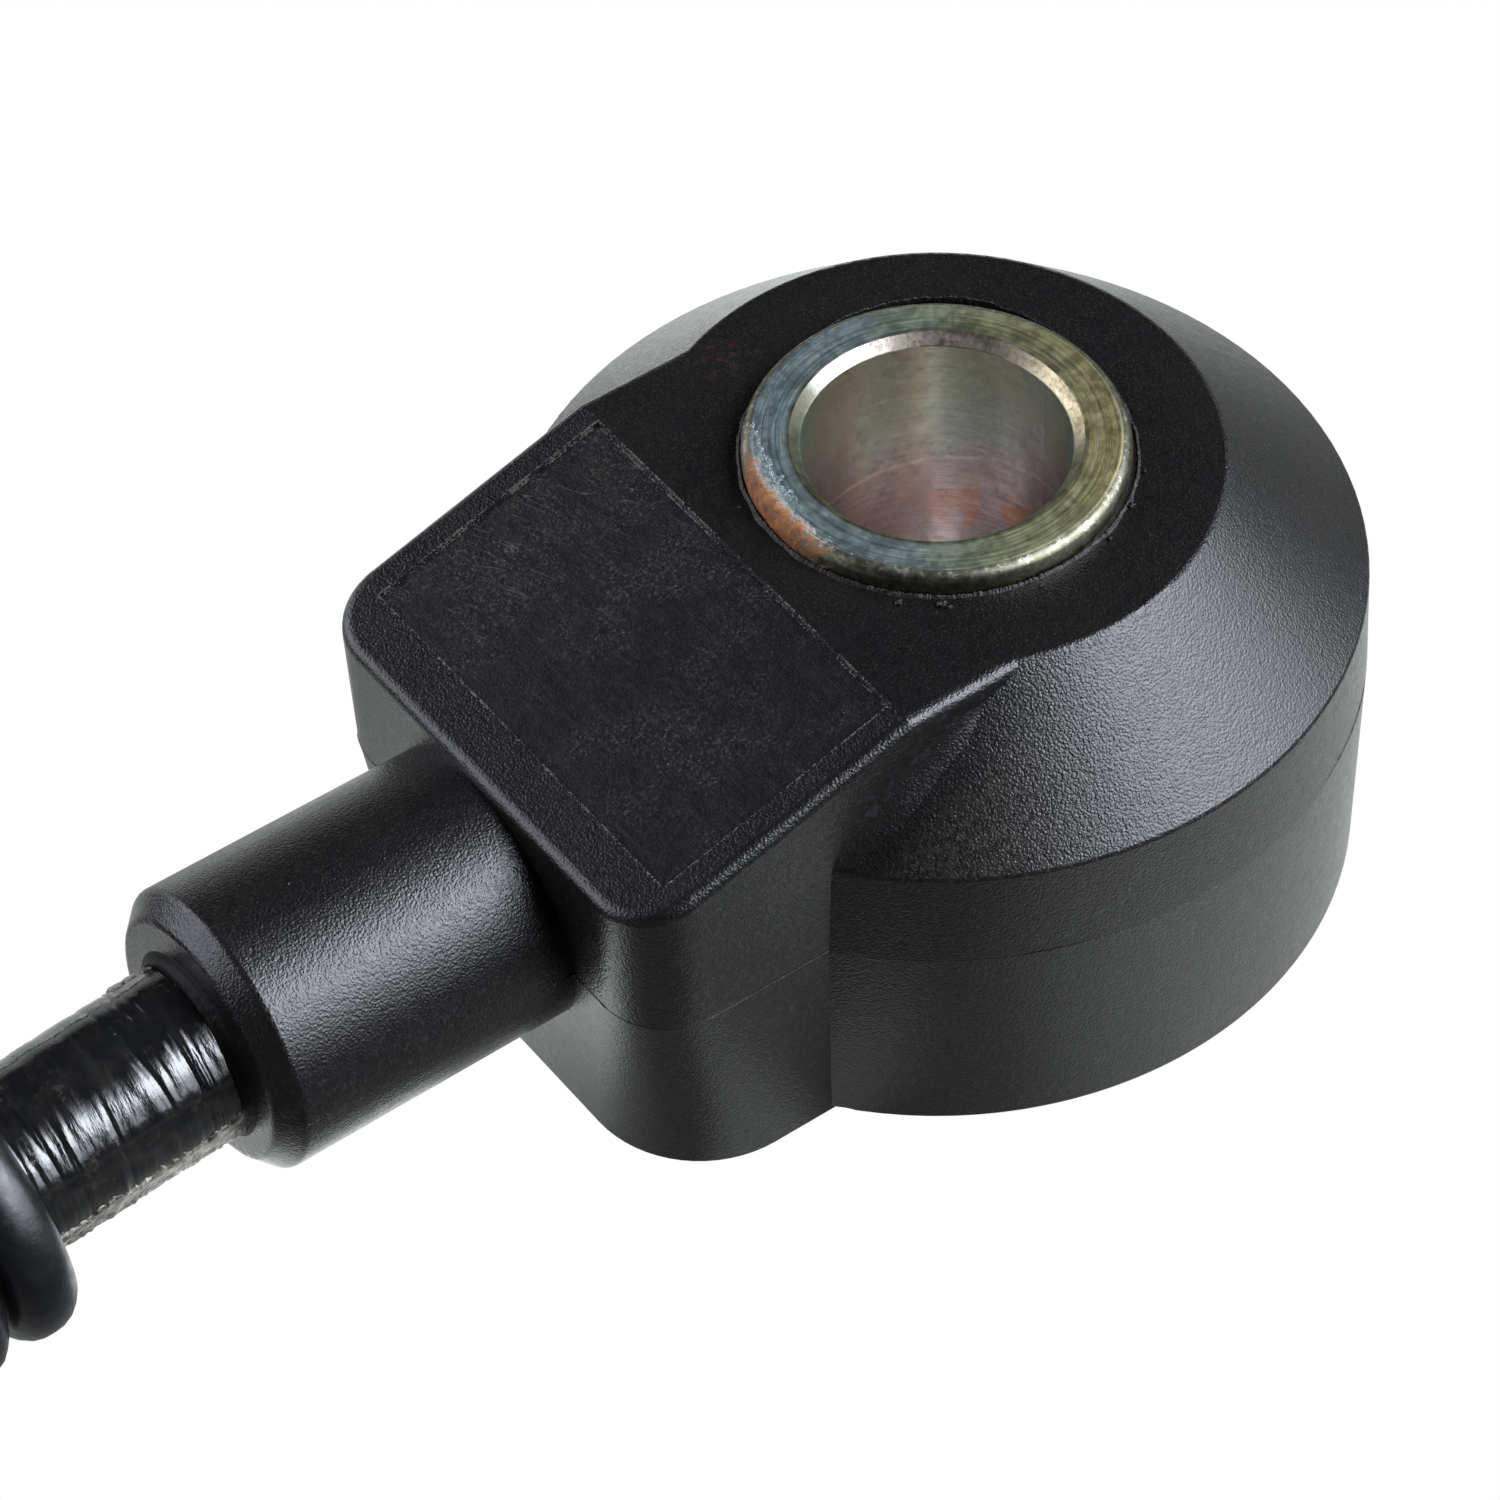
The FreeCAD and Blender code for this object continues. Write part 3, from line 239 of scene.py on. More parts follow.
# the conduit: rounded ribs with narrow grooves, and a lip that closes on the jacket at each end
PITCH, FIRST_RIB = 0.00245, -0.03606
RIB_R, GROOVE_R, BASE_R = 0.00485, 0.00393, 0.00300
S_RIB = distance_at_x(FIRST_RIB)
S_END = LENGTH - 0.0310
N_RIBS = int((S_END - 0.0012 - S_RIB) / PITCH) + 1
half = PITCH / 2
profile = []  # (distance from the rib's middle, radius)
for q in (-0.93, -0.86, -0.72, -0.5, -0.25, 0.0, 0.25, 0.5, 0.72, 0.86, 0.93):
    drop = 0.00080 * abs(q) ** 2.7
    profile.append((q * half, RIB_R - drop))
profile[0] = (-0.965 * half, GROOVE_R + 0.00006)
profile[-1] = (0.965 * half, GROOVE_R + 0.00006)
profile.insert(1, (-0.90 * half, RIB_R - 0.00068))
profile.insert(-1, (0.90 * half, RIB_R - 0.00068))
outer_s, outer_r = [S_LIP, S_LIP + 0.00002, S_LIP + 0.00016, S_LIP + 0.00030, S_RIB - 0.00112], [
    0.00289,
    0.00318,
    0.00327,
    0.00330,
    0.00345,
]
for k in range(N_RIBS):
    wob = 0.00003 * math.sin(k * 1.7)
    for off, r in profile:
        if k == 0 and off < -0.9 * half:
            continue
        outer_s.append(S_RIB + k * PITCH + off)
        outer_r.append(r + wob * (1 if abs(off) < 0.7 * half else 0))
outer_s += [S_RIB + (N_RIBS - 1) * PITCH + half * 1.05, S_END - 0.00005, S_END]
outer_r += [0.00372, 0.00330, 0.00289]
inner_s = np.linspace(S_END - 0.0008, S_LIP + 0.0008, 150)
all_s = np.concatenate([outer_s, inner_s])
all_r = np.concatenate([outer_r, np.full(len(inner_s), 0.00345)])
conduit = sweep("conduit_tube", all_s, all_r, 56, closed=True)

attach(cable, "root")
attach(conduit, "root")
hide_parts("cable")
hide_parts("conduit")


# ------------------------------------------------------------------------------------------ node helper
class Tree:
    """Builds shader nodes with short calls."""

    def __init__(self, tree):
        self.t = tree

    def link(self, a, b):
        self.t.links.new(a, b)

    def put(self, socket, value):
        if isinstance(value, bpy.types.NodeSocket):
            self.link(value, socket)
        else:
            socket.default_value = value

    def vec(self, op, a, b=None, scale=None):
        n = self.t.nodes.new("ShaderNodeVectorMath")
        n.operation = op
        self.put(n.inputs[0], a)
        if b is not None:
            self.put(n.inputs[1], b)
        if scale is not None:
            self.put(n.inputs["Scale"], scale)
        return n.outputs["Value"] if op in ("LENGTH", "DOT_PRODUCT", "DISTANCE") else n.outputs["Vector"]

    def m(self, op, a, b=0.0, c=0.0, clamp=False):
        n = self.t.nodes.new("ShaderNodeMath")
        n.operation = op
        n.use_clamp = clamp
        self.put(n.inputs[0], a)
        self.put(n.inputs[1], b)
        self.put(n.inputs[2], c)
        return n.outputs[0]

    def add(self, a, b):
        return self.m("ADD", a, b)

    def sub(self, a, b):
        return self.m("SUBTRACT", a, b)

    def mul(self, a, b, *more):
        v = self.m("MULTIPLY", a, b)
        for k in more:
            v = self.m("MULTIPLY", v, k)
        return v

    def xyz(self, x, y, z):
        n = self.t.nodes.new("ShaderNodeCombineXYZ")
        for k, v in enumerate((x, y, z)):
            self.put(n.inputs[k], v)
        return n.outputs[0]

    def step(self, v, lo, hi, out0=0.0, out1=1.0, smooth=True):
        """v mapped from lo..hi to out0..out1, and held outside."""
        if lo > hi:
            lo, hi, out0, out1 = hi, lo, out1, out0
        n = self.t.nodes.new("ShaderNodeMapRange")
        n.interpolation_type = "SMOOTHSTEP" if smooth else "LINEAR"
        n.clamp = True
        self.put(n.inputs["Value"], v)
        n.inputs["From Min"].default_value, n.inputs["From Max"].default_value = lo, hi
        n.inputs["To Min"].default_value, n.inputs["To Max"].default_value = out0, out1
        return n.outputs["Result"]

    def band(self, v, centre, half_width, soft):
        """1 inside a band about centre, 0 outside."""
        return self.step(self.m("ABSOLUTE", self.sub(v, centre)), half_width, half_width + soft, 1.0, 0.0)

    def ramp(self, fac, stops, mode="LINEAR"):
        n = self.t.nodes.new("ShaderNodeValToRGB")
        n.color_ramp.interpolation = mode
        e = n.color_ramp.elements
        while len(e) < len(stops):
            e.new(0.5)
        for k, (p, c) in enumerate(stops):
            e[k].position = p
            e[k].color = (*c, 1.0) if isinstance(c, tuple) else (c, c, c, 1.0)
        self.link(fac, n.inputs[0])
        return n.outputs["Color"]

    def mix(self, fac, a, b, blend="MIX"):
        n = self.t.nodes.new("ShaderNodeMix")
        n.data_type = "RGBA"
        n.blend_type = blend
        self.put(n.inputs["Factor"], fac)
        for key, v in (("A", a), ("B", b)):
            s = [i for i in n.inputs if i.name == key and i.type == "RGBA"][0]
            if isinstance(v, bpy.types.NodeSocket):
                self.link(v, s)
            else:
                s.default_value = (*v, 1.0)
        return [o for o in n.outputs if o.type == "RGBA"][0]

    def noise(self, vector, scale, detail=3.0, rough=0.55, lac=2.0, color=False, distort=0.0):
        n = self.t.nodes.new("ShaderNodeTexNoise")
        self.link(vector, n.inputs["Vector"])
        n.inputs["Scale"].default_value = scale
        n.inputs["Detail"].default_value = detail
        n.inputs["Roughness"].default_value = rough
        n.inputs["Lacunarity"].default_value = lac
        n.inputs["Distortion"].default_value = distort
        return n.outputs["Color" if color else "Fac"]

    def cells(self, vector, scale, out="Distance", feature="F1", random_=1.0):
        n = self.t.nodes.new("ShaderNodeTexVoronoi")
        n.feature = feature
        self.link(vector, n.inputs["Vector"])
        n.inputs["Scale"].default_value = scale
        n.inputs["Randomness"].default_value = random_
        return n.outputs[out]


class Nodes(Tree):
    """A material's nodes. Coordinates are in millimetres, in the object's own frame."""

    def __init__(self, name):
        self.mat = bpy.data.materials.new(name)
        self.mat.use_nodes = True
        super().__init__(self.mat.node_tree)
        self.bsdf = self.t.nodes["Principled BSDF"]
        tc = self.t.nodes.new("ShaderNodeTexCoord")
        self.co = self.vec("MULTIPLY", tc.outputs["Object"], (1000, 1000, 1000))
        sep = self.t.nodes.new("ShaderNodeSeparateXYZ")
        self.link(self.co, sep.inputs[0])
        self.x, self.y, self.z = sep.outputs
        self.geo = None

    def specks(self, scale, size, share, vector=None):
        """Dots of about size (as a share of a cell) in that share of the cells."""
        v = vector or self.co
        d = self.cells(v, scale)
        pick = self.t.nodes.new("ShaderNodeSeparateColor")
        self.link(self.cells(v, scale, "Color"), pick.inputs[0])
        on = self.step(pick.outputs[0], 1 - share, 1 - share + 0.001)
        big = self.step(pick.outputs[1], 0.0, 1.0, 0.35, 1.0, smooth=False)
        near = self.m("LESS_THAN", d, self.mul(big, size))
        return self.mul(on, near)

    def hairs(self, vector, scale, width, detail=2.0):
        """Fine wandering lines, where a noise passes its middle value."""
        n = self.noise(vector, scale, detail, 0.5)
        return self.step(self.m("ABSOLUTE", self.sub(n, 0.5)), 0.0, width, 1.0, 0.0)

    def bump(self, height, distance, strength=1.0, normal=None):
        """height is in the units of distance, which is in millimetres."""
        n = self.t.nodes.new("ShaderNodeBump")
        n.inputs["Strength"].default_value = strength
        n.inputs["Distance"].default_value = distance * MM
        self.link(height, n.inputs["Height"])
        if normal is not None:
            self.link(normal, n.inputs["Normal"])
        return n.outputs[0]

    def facing_up(self):
        if self.geo is None:
            self.geo = self.t.nodes.new("ShaderNodeNewGeometry")
            sep = self.t.nodes.new("ShaderNodeSeparateXYZ")
            self.link(self.geo.outputs["Normal"], sep.inputs[0])
            self.nx, self.ny, self.nz = sep.outputs
        return self.nz

    def out(self, color=None, rough=None, normal=None, metallic=None, **plain):
        b = self.bsdf
        for key, v in (("Base Color", color), ("Roughness", rough), ("Metallic", metallic)):
            if v is not None:
                if isinstance(v, tuple):
                    b.inputs[key].default_value = (*v, 1.0)
                else:
                    self.put(b.inputs[key], v)
        if normal is not None:
            self.link(normal, b.inputs["Normal"])
        for key, v in plain.items():
            b.inputs[key.replace("_", " ")].default_value = v
        return self.mat


def wear(o, material):
    """The material in every slot of an object."""
    if not o.data.materials:
        o.data.materials.append(material)
    for s in o.material_slots:
        s.material = material


# ------------------------------------------------------------------------------------------ flash and sealant
def section(node, z):
    """The outer outline of a CAD node at height z, in metres, as an array of points in order."""
    bm = bmesh.new()
    bm.from_mesh(NODES[node].data)
    bmesh.ops.remove_doubles(bm, verts=bm.verts[:], dist=2e-6)
    cut = bmesh.ops.bisect_plane(bm, geom=bm.verts[:] + bm.edges[:] + bm.faces[:], dist=1e-7, plane_co=(0, 0, z), plane_no=(0, 0, 1))
    near = {}
    for e in cut["geom_cut"]:
        if isinstance(e, bmesh.types.BMEdge):
            a, b = (tuple(round(c * 1e7) for c in v.co) for v in e.verts)
            if a != b:
                near.setdefault(a, set()).add(b)
                near.setdefault(b, set()).add(a)
    bm.free()
    best, seen = [], set()
    for first in sorted(near):
        if first in seen:
            continue
        loop, here, last = [first], first, None
        seen.add(first)
        while True:
            ways = [p for p in sorted(near[here]) if p != last and p not in seen]
            if not ways:
                break
            last, here = here, ways[0]
            seen.add(here)
            loop.append(here)
        pts = np.array(loop, float) * 1e-7
        if not len(best) or np.ptp(pts[:, 0]) > np.ptp(best[:, 0]):
            best = pts
    return best


def resample(pts, gap):
    """Evenly spaced points round a closed outline, with their outward normals."""
    p = np.vstack([pts, pts[:1]])
    s = np.concatenate([[0.0], np.cumsum(np.linalg.norm(np.diff(p, axis=0), axis=1))])
    n = int(s[-1] / gap)
    at = np.linspace(0, s[-1], n, endpoint=False)
    q = np.stack([np.interp(at, s, p[:, k]) for k in range(2)], axis=1)
    t = np.roll(q, -2, axis=0) - np.roll(q, 2, axis=0)
    t /= np.linalg.norm(t, axis=1)[:, None]
    area = 0.5 * np.sum(q[:, 0] * np.roll(q[:, 1], -1) - q[:, 1] * np.roll(q[:, 0], -1))
    out = np.stack([t[:, 1], -t[:, 0]], axis=1) * (1 if area > 0 else -1)
    return q, out


def parting_flash():
    """The ragged line of flash where the halves of the mould met, round the body at half height."""
    z0 = 0.0090
    q, out = resample(section("housing", z0 + 0.00001), 0.00011)
    verts, faces = [], []
    run = []

    def close():
        if len(run) > 4:
            base = len(verts)
            for v in run:
                verts.extend(v)
            faces.extend(ring_faces(len(run), 4, False, base))
            faces.append((base + 3, base + 2, base + 1, base))
            e = base + (len(run) - 1) * 4
            faces.append((e, e + 1, e + 2, e + 3))
        run.clear()

    for k, (p, o) in enumerate(zip(q, out)):
        if p[0] < -0.02740 or (abs(o[0] + 1) < 0.05 and p[0] < -0.0270):
            close()
            continue
        lump = noise.noise(Vector((p[0] * 420, p[1] * 420, 3.1)))
        fray = noise.noise(Vector((p[0] * 4200, p[1] * 4200, 8.7)))
        there = min(1.0, max(0.0, 0.5 + 3.0 * noise.noise(Vector((p[0] * 180, p[1] * 180, 12.0)))))
        far = there * (0.000012 + 0.000022 * max(0.0, lump) + 0.000030 * max(0.0, fray - 0.1))
        if p[0] < -0.0180 and p[0] > -0.0262:
            far = -0.00001
        lift = 0.00003 * noise.noise(Vector((p[0] * 300, p[1] * 300, 5.5)))
        run.append(
            [
                (p[0] - o[0] * 0.00003, p[1] - o[1] * 0.00003, z0 + lift - 0.000045),
                (p[0] + o[0] * far, p[1] + o[1] * far, z0 + lift - 0.000014),
                (p[0] + o[0] * far, p[1] + o[1] * far, z0 + lift + 0.000018),
                (p[0] - o[0] * 0.00003, p[1] - o[1] * 0.00003, z0 + lift + 0.000050),
            ]
        )
    close()
    return new_mesh("parting_flash", verts, faces)


def bell(a, centre, half):
    """A smooth hump of the angle a, in degrees, about a centre."""
    d = abs((a - centre + 180) % 360 - 180) / half
    return 0.5 + 0.5 * math.cos(math.pi * d) if d < 1 else 0.0


def sleeve_flash():
    """The torn rim of plastic left standing round the sleeve, with the crumbs that hang on it."""
    n = 1600
    rings = []
    for k in range(n):
        a = 360.0 * k / n
        c, s = math.cos(math.radians(a)), math.sin(math.radians(a))
        slow = noise.noise(Vector((c * 2.2, s * 2.2, 1.0)))
        mid = noise.noise(Vector((c * 9.0, s * 9.0, 4.0)))
        fine = noise.noise(Vector((c * 55.0, s * 55.0, 7.0)))
        tiny = noise.noise(Vector((c * 130.0, s * 130.0, 2.0)))
        gap = 0.03 + 0.50 * bell(a, 50, 66) + 0.12 * bell(a, 315, 48) + 0.025 * mid
        high = 0.085 + 0.05 * slow + 0.05 * mid + 0.055 * fine + 0.04 * tiny + 0.27 * bell(a, 55, 80) + 0.06 * bell(a, 185, 60)
        high = max(0.02, high)
        wide = 0.050 + 0.014 * mid + 0.004 * tiny
        ri = 6.0 + max(0.012, gap) + 0.010 * tiny
        ring = []
        for dr, dz in ((0.0, -0.05), (0.008, high * 0.85), (wide * 0.5, high), (wide * 1.0, high * 0.86), (wide * 1.6, high * 0.22), (wide * 3.2, -0.02), (wide * 3.4, -0.05)):
            r = (ri + dr) * MM
            ring.append((r * c, r * s, (17.0 + dz) * MM))
        rings.append(ring)
    verts = [v for r in rings for v in r]
    faces = ring_faces(n, 7, True)
    o = new_mesh("sleeve_flash", verts, faces)
    # crumbs, each a small torn lump
    bm = bmesh.new()
    bm.from_mesh(o.data)
    for a, r, size in ((-137.5, 6.42, 0.10), (-126.0, 6.38, 0.12), (-124.0, 6.50, 0.075), (-98.0, 6.40, 0.06), (-72.0, 6.36, 0.07), (-58.0, 6.30, 0.085), (-44.0, 6.38, 0.05), (164.0, 6.42, 0.05)):
        at = Vector((r * math.cos(math.radians(a)), r * math.sin(math.radians(a)), 17.0 + size * 0.5)) * MM
        made = bmesh.ops.create_icosphere(bm, subdivisions=3, radius=size * MM)
        for v in made["verts"]:
            d = v.co.normalized()
            grow = 1 + 0.55 * noise.noise(d * 1.6 + Vector((a, 0, 0))) + 0.25 * noise.noise(d * 4.5 + Vector((a, 3, 0)))
            v.co = Vector((d.x * 1.35, d.y, d.z * 0.7)) * size * MM * grow + at
    bmesh.ops.recalc_face_normals(bm, faces=bm.faces[:])
    bm.to_mesh(o.data)
    bm.free()
    for p in o.data.polygons:
        p.use_smooth = True
    return o


def sealant_strip(low, turn, s0, s1, size, seed):
    """Points and faces of a thin ragged skin along the jacket, about the line at angle low."""
    n_s, n_a = 170, 18
    s = np.linspace(s0, s1, n_s)
    c, t, side, up = frames_at(s)
    verts = []
    for i in range(n_s):
        f = i / (n_s - 1)
        q = s[i] * 1000 + seed
        ends = min(1.0, f / 0.04, (1 - f) / 0.06)
        edge = 0.50 + 0.11 * noise.noise(Vector((q * 0.9, 0, 0))) + 0.10 * noise.noise(Vector((q * 3.6, 5, 0))) + 0.05 * noise.noise(Vector((q * 11, 9, 0)))
        edge += 0.18 * math.exp(-((f / 0.12) ** 2)) - 0.05 * f
        under = -0.18 + 0.05 * noise.noise(Vector((q * 2.1, 17, 0)))
        bead = (0.105 + 0.07 * noise.noise(Vector((q * 1.7, 23, 0))) + 0.045 * noise.noise(Vector((q * 7, 31, 0)))) * size * max(0.0, ends)
        ring_in, ring_out = [], []
        for j in range(n_a):
            g = j / (n_a - 1)
            a = low + turn * (under + (edge * size - under) * g)
            hump = math.exp(-(((g - 0.28) / 0.20) ** 2)) * bead + 0.022 * math.sin(math.pi * g) + 0.016 * noise.noise(Vector((q * 5, g * 6, 2)))
            hump += 0.034 * math.exp(-(((g - 0.90) / 0.06) ** 2))
            if j in (0, n_a - 1) or i in (0, n_s - 1):
                hump = -0.02
            d = side[i] * math.cos(a) + up[i] * math.sin(a)
            ring_out.append(c[i] + d * (2.815 + max(hump, -0.02)) * MM)
            ring_in.append(c[i] + d * 2.75 * MM)
        verts.extend(ring_in + ring_out[::-1])
    faces = ring_faces(n_s, 2 * n_a)
    faces.append(tuple(range(2 * n_a - 1, -1, -1)))
    faces.append(tuple(range((n_s - 1) * 2 * n_a, n_s * 2 * n_a)))
    return verts, faces


def sealant_bead():
    """The thin ragged skins of sealant run out along the jacket, between the spout and the conduit."""
    # level side is +Y here, so these angles are the lowest and the highest line of the jacket as it is seen in the main view
    v1, f1 = sealant_strip(math.radians(216.6), -1, S_SPOUT - 0.0003, S_LIP + 0.0004, 1.0, 0.0)
    v2, f2 = sealant_strip(math.radians(36.6), 1, S_SPOUT - 0.0003, S_SPOUT + 0.0015, 0.45, 40.0)
    f2 = [tuple(i + len(v1) for i in f) for f in f2]
    o = new_mesh("sealant_bead", v1 + v2, f1 + f2)
    bm = bmesh.new()
    bm.from_mesh(o.data)
    bmesh.ops.recalc_face_normals(bm, faces=bm.faces[:])
    bm.to_mesh(o.data)
    bm.free()
    return o


def mouth_fillet():
    """The uneven fillet that closes the annulus between the jacket and the spout's mouth: a black smear, made darker
    than the moulding as painted shade in the mouth.
    """
    n = 220
    rings = []
    for k in range(n):
        a = 2 * math.pi * k / n
        c, s = math.cos(a), math.sin(a)
        w = noise.noise(Vector((c * 1.8, s * 1.8, 3.0)))
        f = noise.noise(Vector((c * 11.0, s * 11.0, 6.0)))
        out = 0.075 + 0.045 * w + 0.03 * f
        ring = []
        for r, dx in ((2.78, 0.40), (2.78, -0.28 - out), (2.84, -0.15 - 0.9 * out), (2.92, -0.07 - 0.45 * out), (3.01, -0.03 - 0.20 * out), (3.11 + 0.03 * w, -0.012), (3.14 + 0.03 * w, 0.03), (3.05, 0.40)):
            ring.append(((SPOUT_FACE * 1000 + dx) * MM, r * c * MM, (8.82 + r * s) * MM))
        rings.append(ring)
    verts = [v for r in rings for v in r]
    o = new_mesh("mouth_fillet", verts, ring_faces(n, 8, True))
    bm = bmesh.new()
    bm.from_mesh(o.data)
    bmesh.ops.recalc_face_normals(bm, faces=bm.faces[:])
    bm.to_mesh(o.data)
    bm.free()
    return o


parting = parting_flash()
torn = sleeve_flash()
sealant = sealant_bead()
fillet = mouth_fillet()
for piece, finish in ((parting, "black_moulding"), (torn, "black_moulding"), (sealant, "cable_jacket"), (fillet, "cable_jacket")):
    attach(piece, "root")


# ------------------------------------------------------------------------------------------ black moulding
def moulding():
    n = Nodes("black_moulding_skin")
    up = n.facing_up()
    grain = n.noise(n.co, 14.0, 1.0, 0.55)
    pits = n.cells(n.co, 10.0)
    coarse = n.noise(n.co, 2.2, 2.0, 0.5)
    cloud = n.noise(n.co, 0.25, 4.0, 0.6)
    zone = n.noise(n.co, 0.42, 3.0, 0.6)
    # the blank label recess: smoother, faintly drawn along Y, scuffed, with pale torn-looking edges that are partly
    # painted highlight along its step
    from_x = n.m("ABSOLUTE", n.sub(n.x, -11.6))
    from_y = n.m("ABSOLUTE", n.y)
    on_top = n.step(up, 0.85, 0.9)
    recess = n.mul(n.step(from_x, 4.16, 4.13), n.step(from_y, 7.43, 7.40), on_top)
    inside = n.m("MAXIMUM", n.sub(from_x, 4.15), n.sub(from_y, 7.42))
    edge = n.mul(n.step(n.m("ABSOLUTE", inside), 0.035, 0.075, 1.0, 0.0), n.step(n.z, 13.0, 13.2))
    crumble = n.noise(n.co, 11.0, 2.0, 0.6)
    along = n.noise(n.co, 0.8, 2.0, 0.5)
    # pale edges of the recess: partly torn flash, partly painted highlight along the step
    torn_edge_highlight = n.mul(edge, n.step(n.add(crumble, n.mul(along, 0.7)), 0.84, 1.0))
    drawn = n.noise(n.xyz(n.mul(n.x, 5.5), n.mul(n.y, 0.30), n.mul(n.z, 5.5)), 1.0, 5.0, 0.7)
    upper = n.step(n.add(n.y, n.mul(n.x, 0.25)), -5.5, 5.5)  # worn most at its far corner
    scuffed = n.step(n.add(zone, n.mul(upper, 0.12)), 0.46, 0.64)
    haze = n.mul(n.step(n.noise(n.xyz(n.mul(n.x, 2.4), n.mul(n.y, 0.8), n.z), 1.0, 6.0, 0.75), 0.42, 0.62), n.add(0.20, n.mul(upper, 0.80)), recess)
    grit = n.mul(n.step(n.noise(n.co, 9.0, 3.0, 0.7), 0.52, 0.66), scuffed, recess)
    slant = n.xyz(n.add(n.mul(n.x, 1.5), n.mul(n.y, 0.62)), n.mul(n.sub(n.y, n.mul(n.x, 0.3)), 0.12), n.z)
    scratch = n.mul(n.hairs(slant, 1.5, 0.012, 1.0), n.step(n.noise(n.co, 1.1, 2.0, 0.5), 0.47, 0.56), n.add(n.mul(recess, upper), 0.04))
    base = n.mix(n.step(cloud, 0.35, 0.7), (0.0054, 0.0052, 0.0054), (0.0076, 0.0072, 0.0072))
    base = n.mix(n.mul(recess, 0.8), base, (0.0036, 0.0037, 0.0042))
    base = n.mix(n.mul(haze, 0.36), base, (0.022, 0.0200, 0.0175))
    base = n.mix(n.mul(n.step(drawn, 0.54, 0.72), recess, 0.35), base, (0.021, 0.021, 0.022))
    base = n.mix(n.mul(grit, 0.52), base, (0.056, 0.052, 0.045))
    base = n.mix(n.mul(scratch, 0.60), base, (0.085, 0.085, 0.08))
    # dust: pale specks, most of them in the recess and at the foot of the cone
    foot = n.mul(n.band(n.x, -7.0, 2.2, 2.5), n.step(n.y, -9.2, -10.2), n.step(up, 0.3, 0.6))
    where = n.m("ADD", n.mul(recess, scuffed), foot, clamp=True)
    dust = n.m("ADD", n.mul(n.specks(5.2, 0.15, 0.24), where), n.specks(1.25, 0.050, 0.20), clamp=True)
    fine_dust = n.mul(n.step(n.noise(n.co, 11.0, 1.0, 0.5), 0.56, 0.72), n.step(n.noise(n.co, 0.8, 3.0, 0.6), 0.34, 0.60, 0.35, 1.0), n.step(up, 0.2, 0.6))
    base = n.mix(n.mul(fine_dust, 0.34), base, (0.046, 0.040, 0.036))
    base = n.mix(n.mul(foot, n.step(n.noise(n.co, 5.5, 4.0, 0.65), 0.38, 0.62), 0.60), base, (0.034, 0.031, 0.027))
    # the walls are faintly mottled
    walls = n.step(n.m("ABSOLUTE", up), 0.45, 0.25)
    base = n.mix(n.mul(n.step(n.noise(n.co, 4.5, 4.0, 0.75), 0.50, 0.64), walls, 0.48), base, (0.028, 0.028, 0.029))
    base = n.mix(n.mul(dust, 0.50), base, (0.17, 0.16, 0.14))
    # painted highlight along the recess step, broken up like torn flash
    base = n.mix(n.mul(torn_edge_highlight, 0.62), base, (0.115, 0.11, 0.095))
    # a brownish stain on the flat top, behind the sleeve
    stain = n.mul(n.step(n.vec("DISTANCE", n.co, (-2.9, 7.5, 17.0)), 1.3, 0.2), n.step(n.noise(n.co, 2.6, 3.0, 0.6), 0.5, 0.62))
    base = n.mix(n.mul(stain, 0.6), base, (0.045, 0.018, 0.012))
    rough = n.step(n.noise(n.co, 3.0, 2.0, 0.5), 0.3, 0.7, 0.270, 0.325)
    rough = n.add(rough, n.mul(recess, 0.03))
    rough = n.m("ADD", rough, n.mul(n.m("MAXIMUM", dust, n.mul(grit, 0.7)), 0.3), clamp=True)
    skin = n.add(n.mul(grain, 0.75), n.mul(pits, -0.58))
    # painted shadow: a dark line along the parting line on the walls, with a matching groove in the bump
    seam_groove_and_shadow = n.mul(n.band(n.z, 9.0, 0.010, 0.030), n.step(n.m("ABSOLUTE", up), 0.35, 0.2), n.step(n.x, -18.6, -18.2))
    seam_groove_and_shadow = n.mul(seam_groove_and_shadow, n.step(n.noise(n.co, 0.35, 3.0, 0.6), 0.28, 0.38))
    base = n.mix(n.mul(seam_groove_and_shadow, 0.85), base, (0.0012, 0.0012, 0.0012))
    h = n.add(n.mul(skin, n.step(recess, 0, 1, 1.0, 0.30)), n.mul(coarse, 0.22))
    h = n.add(h, n.mul(drawn, recess, 0.34))
    h = n.add(n.add(h, torn_edge_highlight), n.mul(seam_groove_and_shadow, -0.9))
    return n.out(base, rough, n.bump(h, 0.0202), Specular_IOR_Level=0.5)


def torn_plastic():
    n = Nodes("torn_plastic_skin")
    f = n.noise(n.co, 6.0, 3.0, 0.65)
    pale = n.mul(n.step(n.noise(n.co, 3.4, 3.0, 0.6), 0.50, 0.66), n.step(f, 0.45, 0.6))
    base = n.mix(pale, (0.0065, 0.0062, 0.0060), (0.060, 0.056, 0.048))
    return n.out(base, n.step(f, 0.3, 0.7, 0.42, 0.62), n.bump(f, 0.045), Specular_IOR_Level=0.35)


def sealant_skin():
    n = Nodes("sealant_skin")
    f = n.noise(n.co, 2.6, 4.0, 0.65)
    g = n.noise(n.co, 7.5, 3.0, 0.6)
    base = n.ramp(n.add(n.mul(f, 0.7), n.mul(g, 0.3)), [(0.37, (0.020, 0.015, 0.011)), (0.455, (0.070, 0.057, 0.042)), (0.53, (0.235, 0.22, 0.18)), (0.64, (0.47, 0.45, 0.385))])
    return n.out(base, n.step(g, 0.3, 0.7, 0.28, 0.5), n.bump(n.add(f, n.mul(g, 0.5)), 0.05), Specular_IOR_Level=0.5)


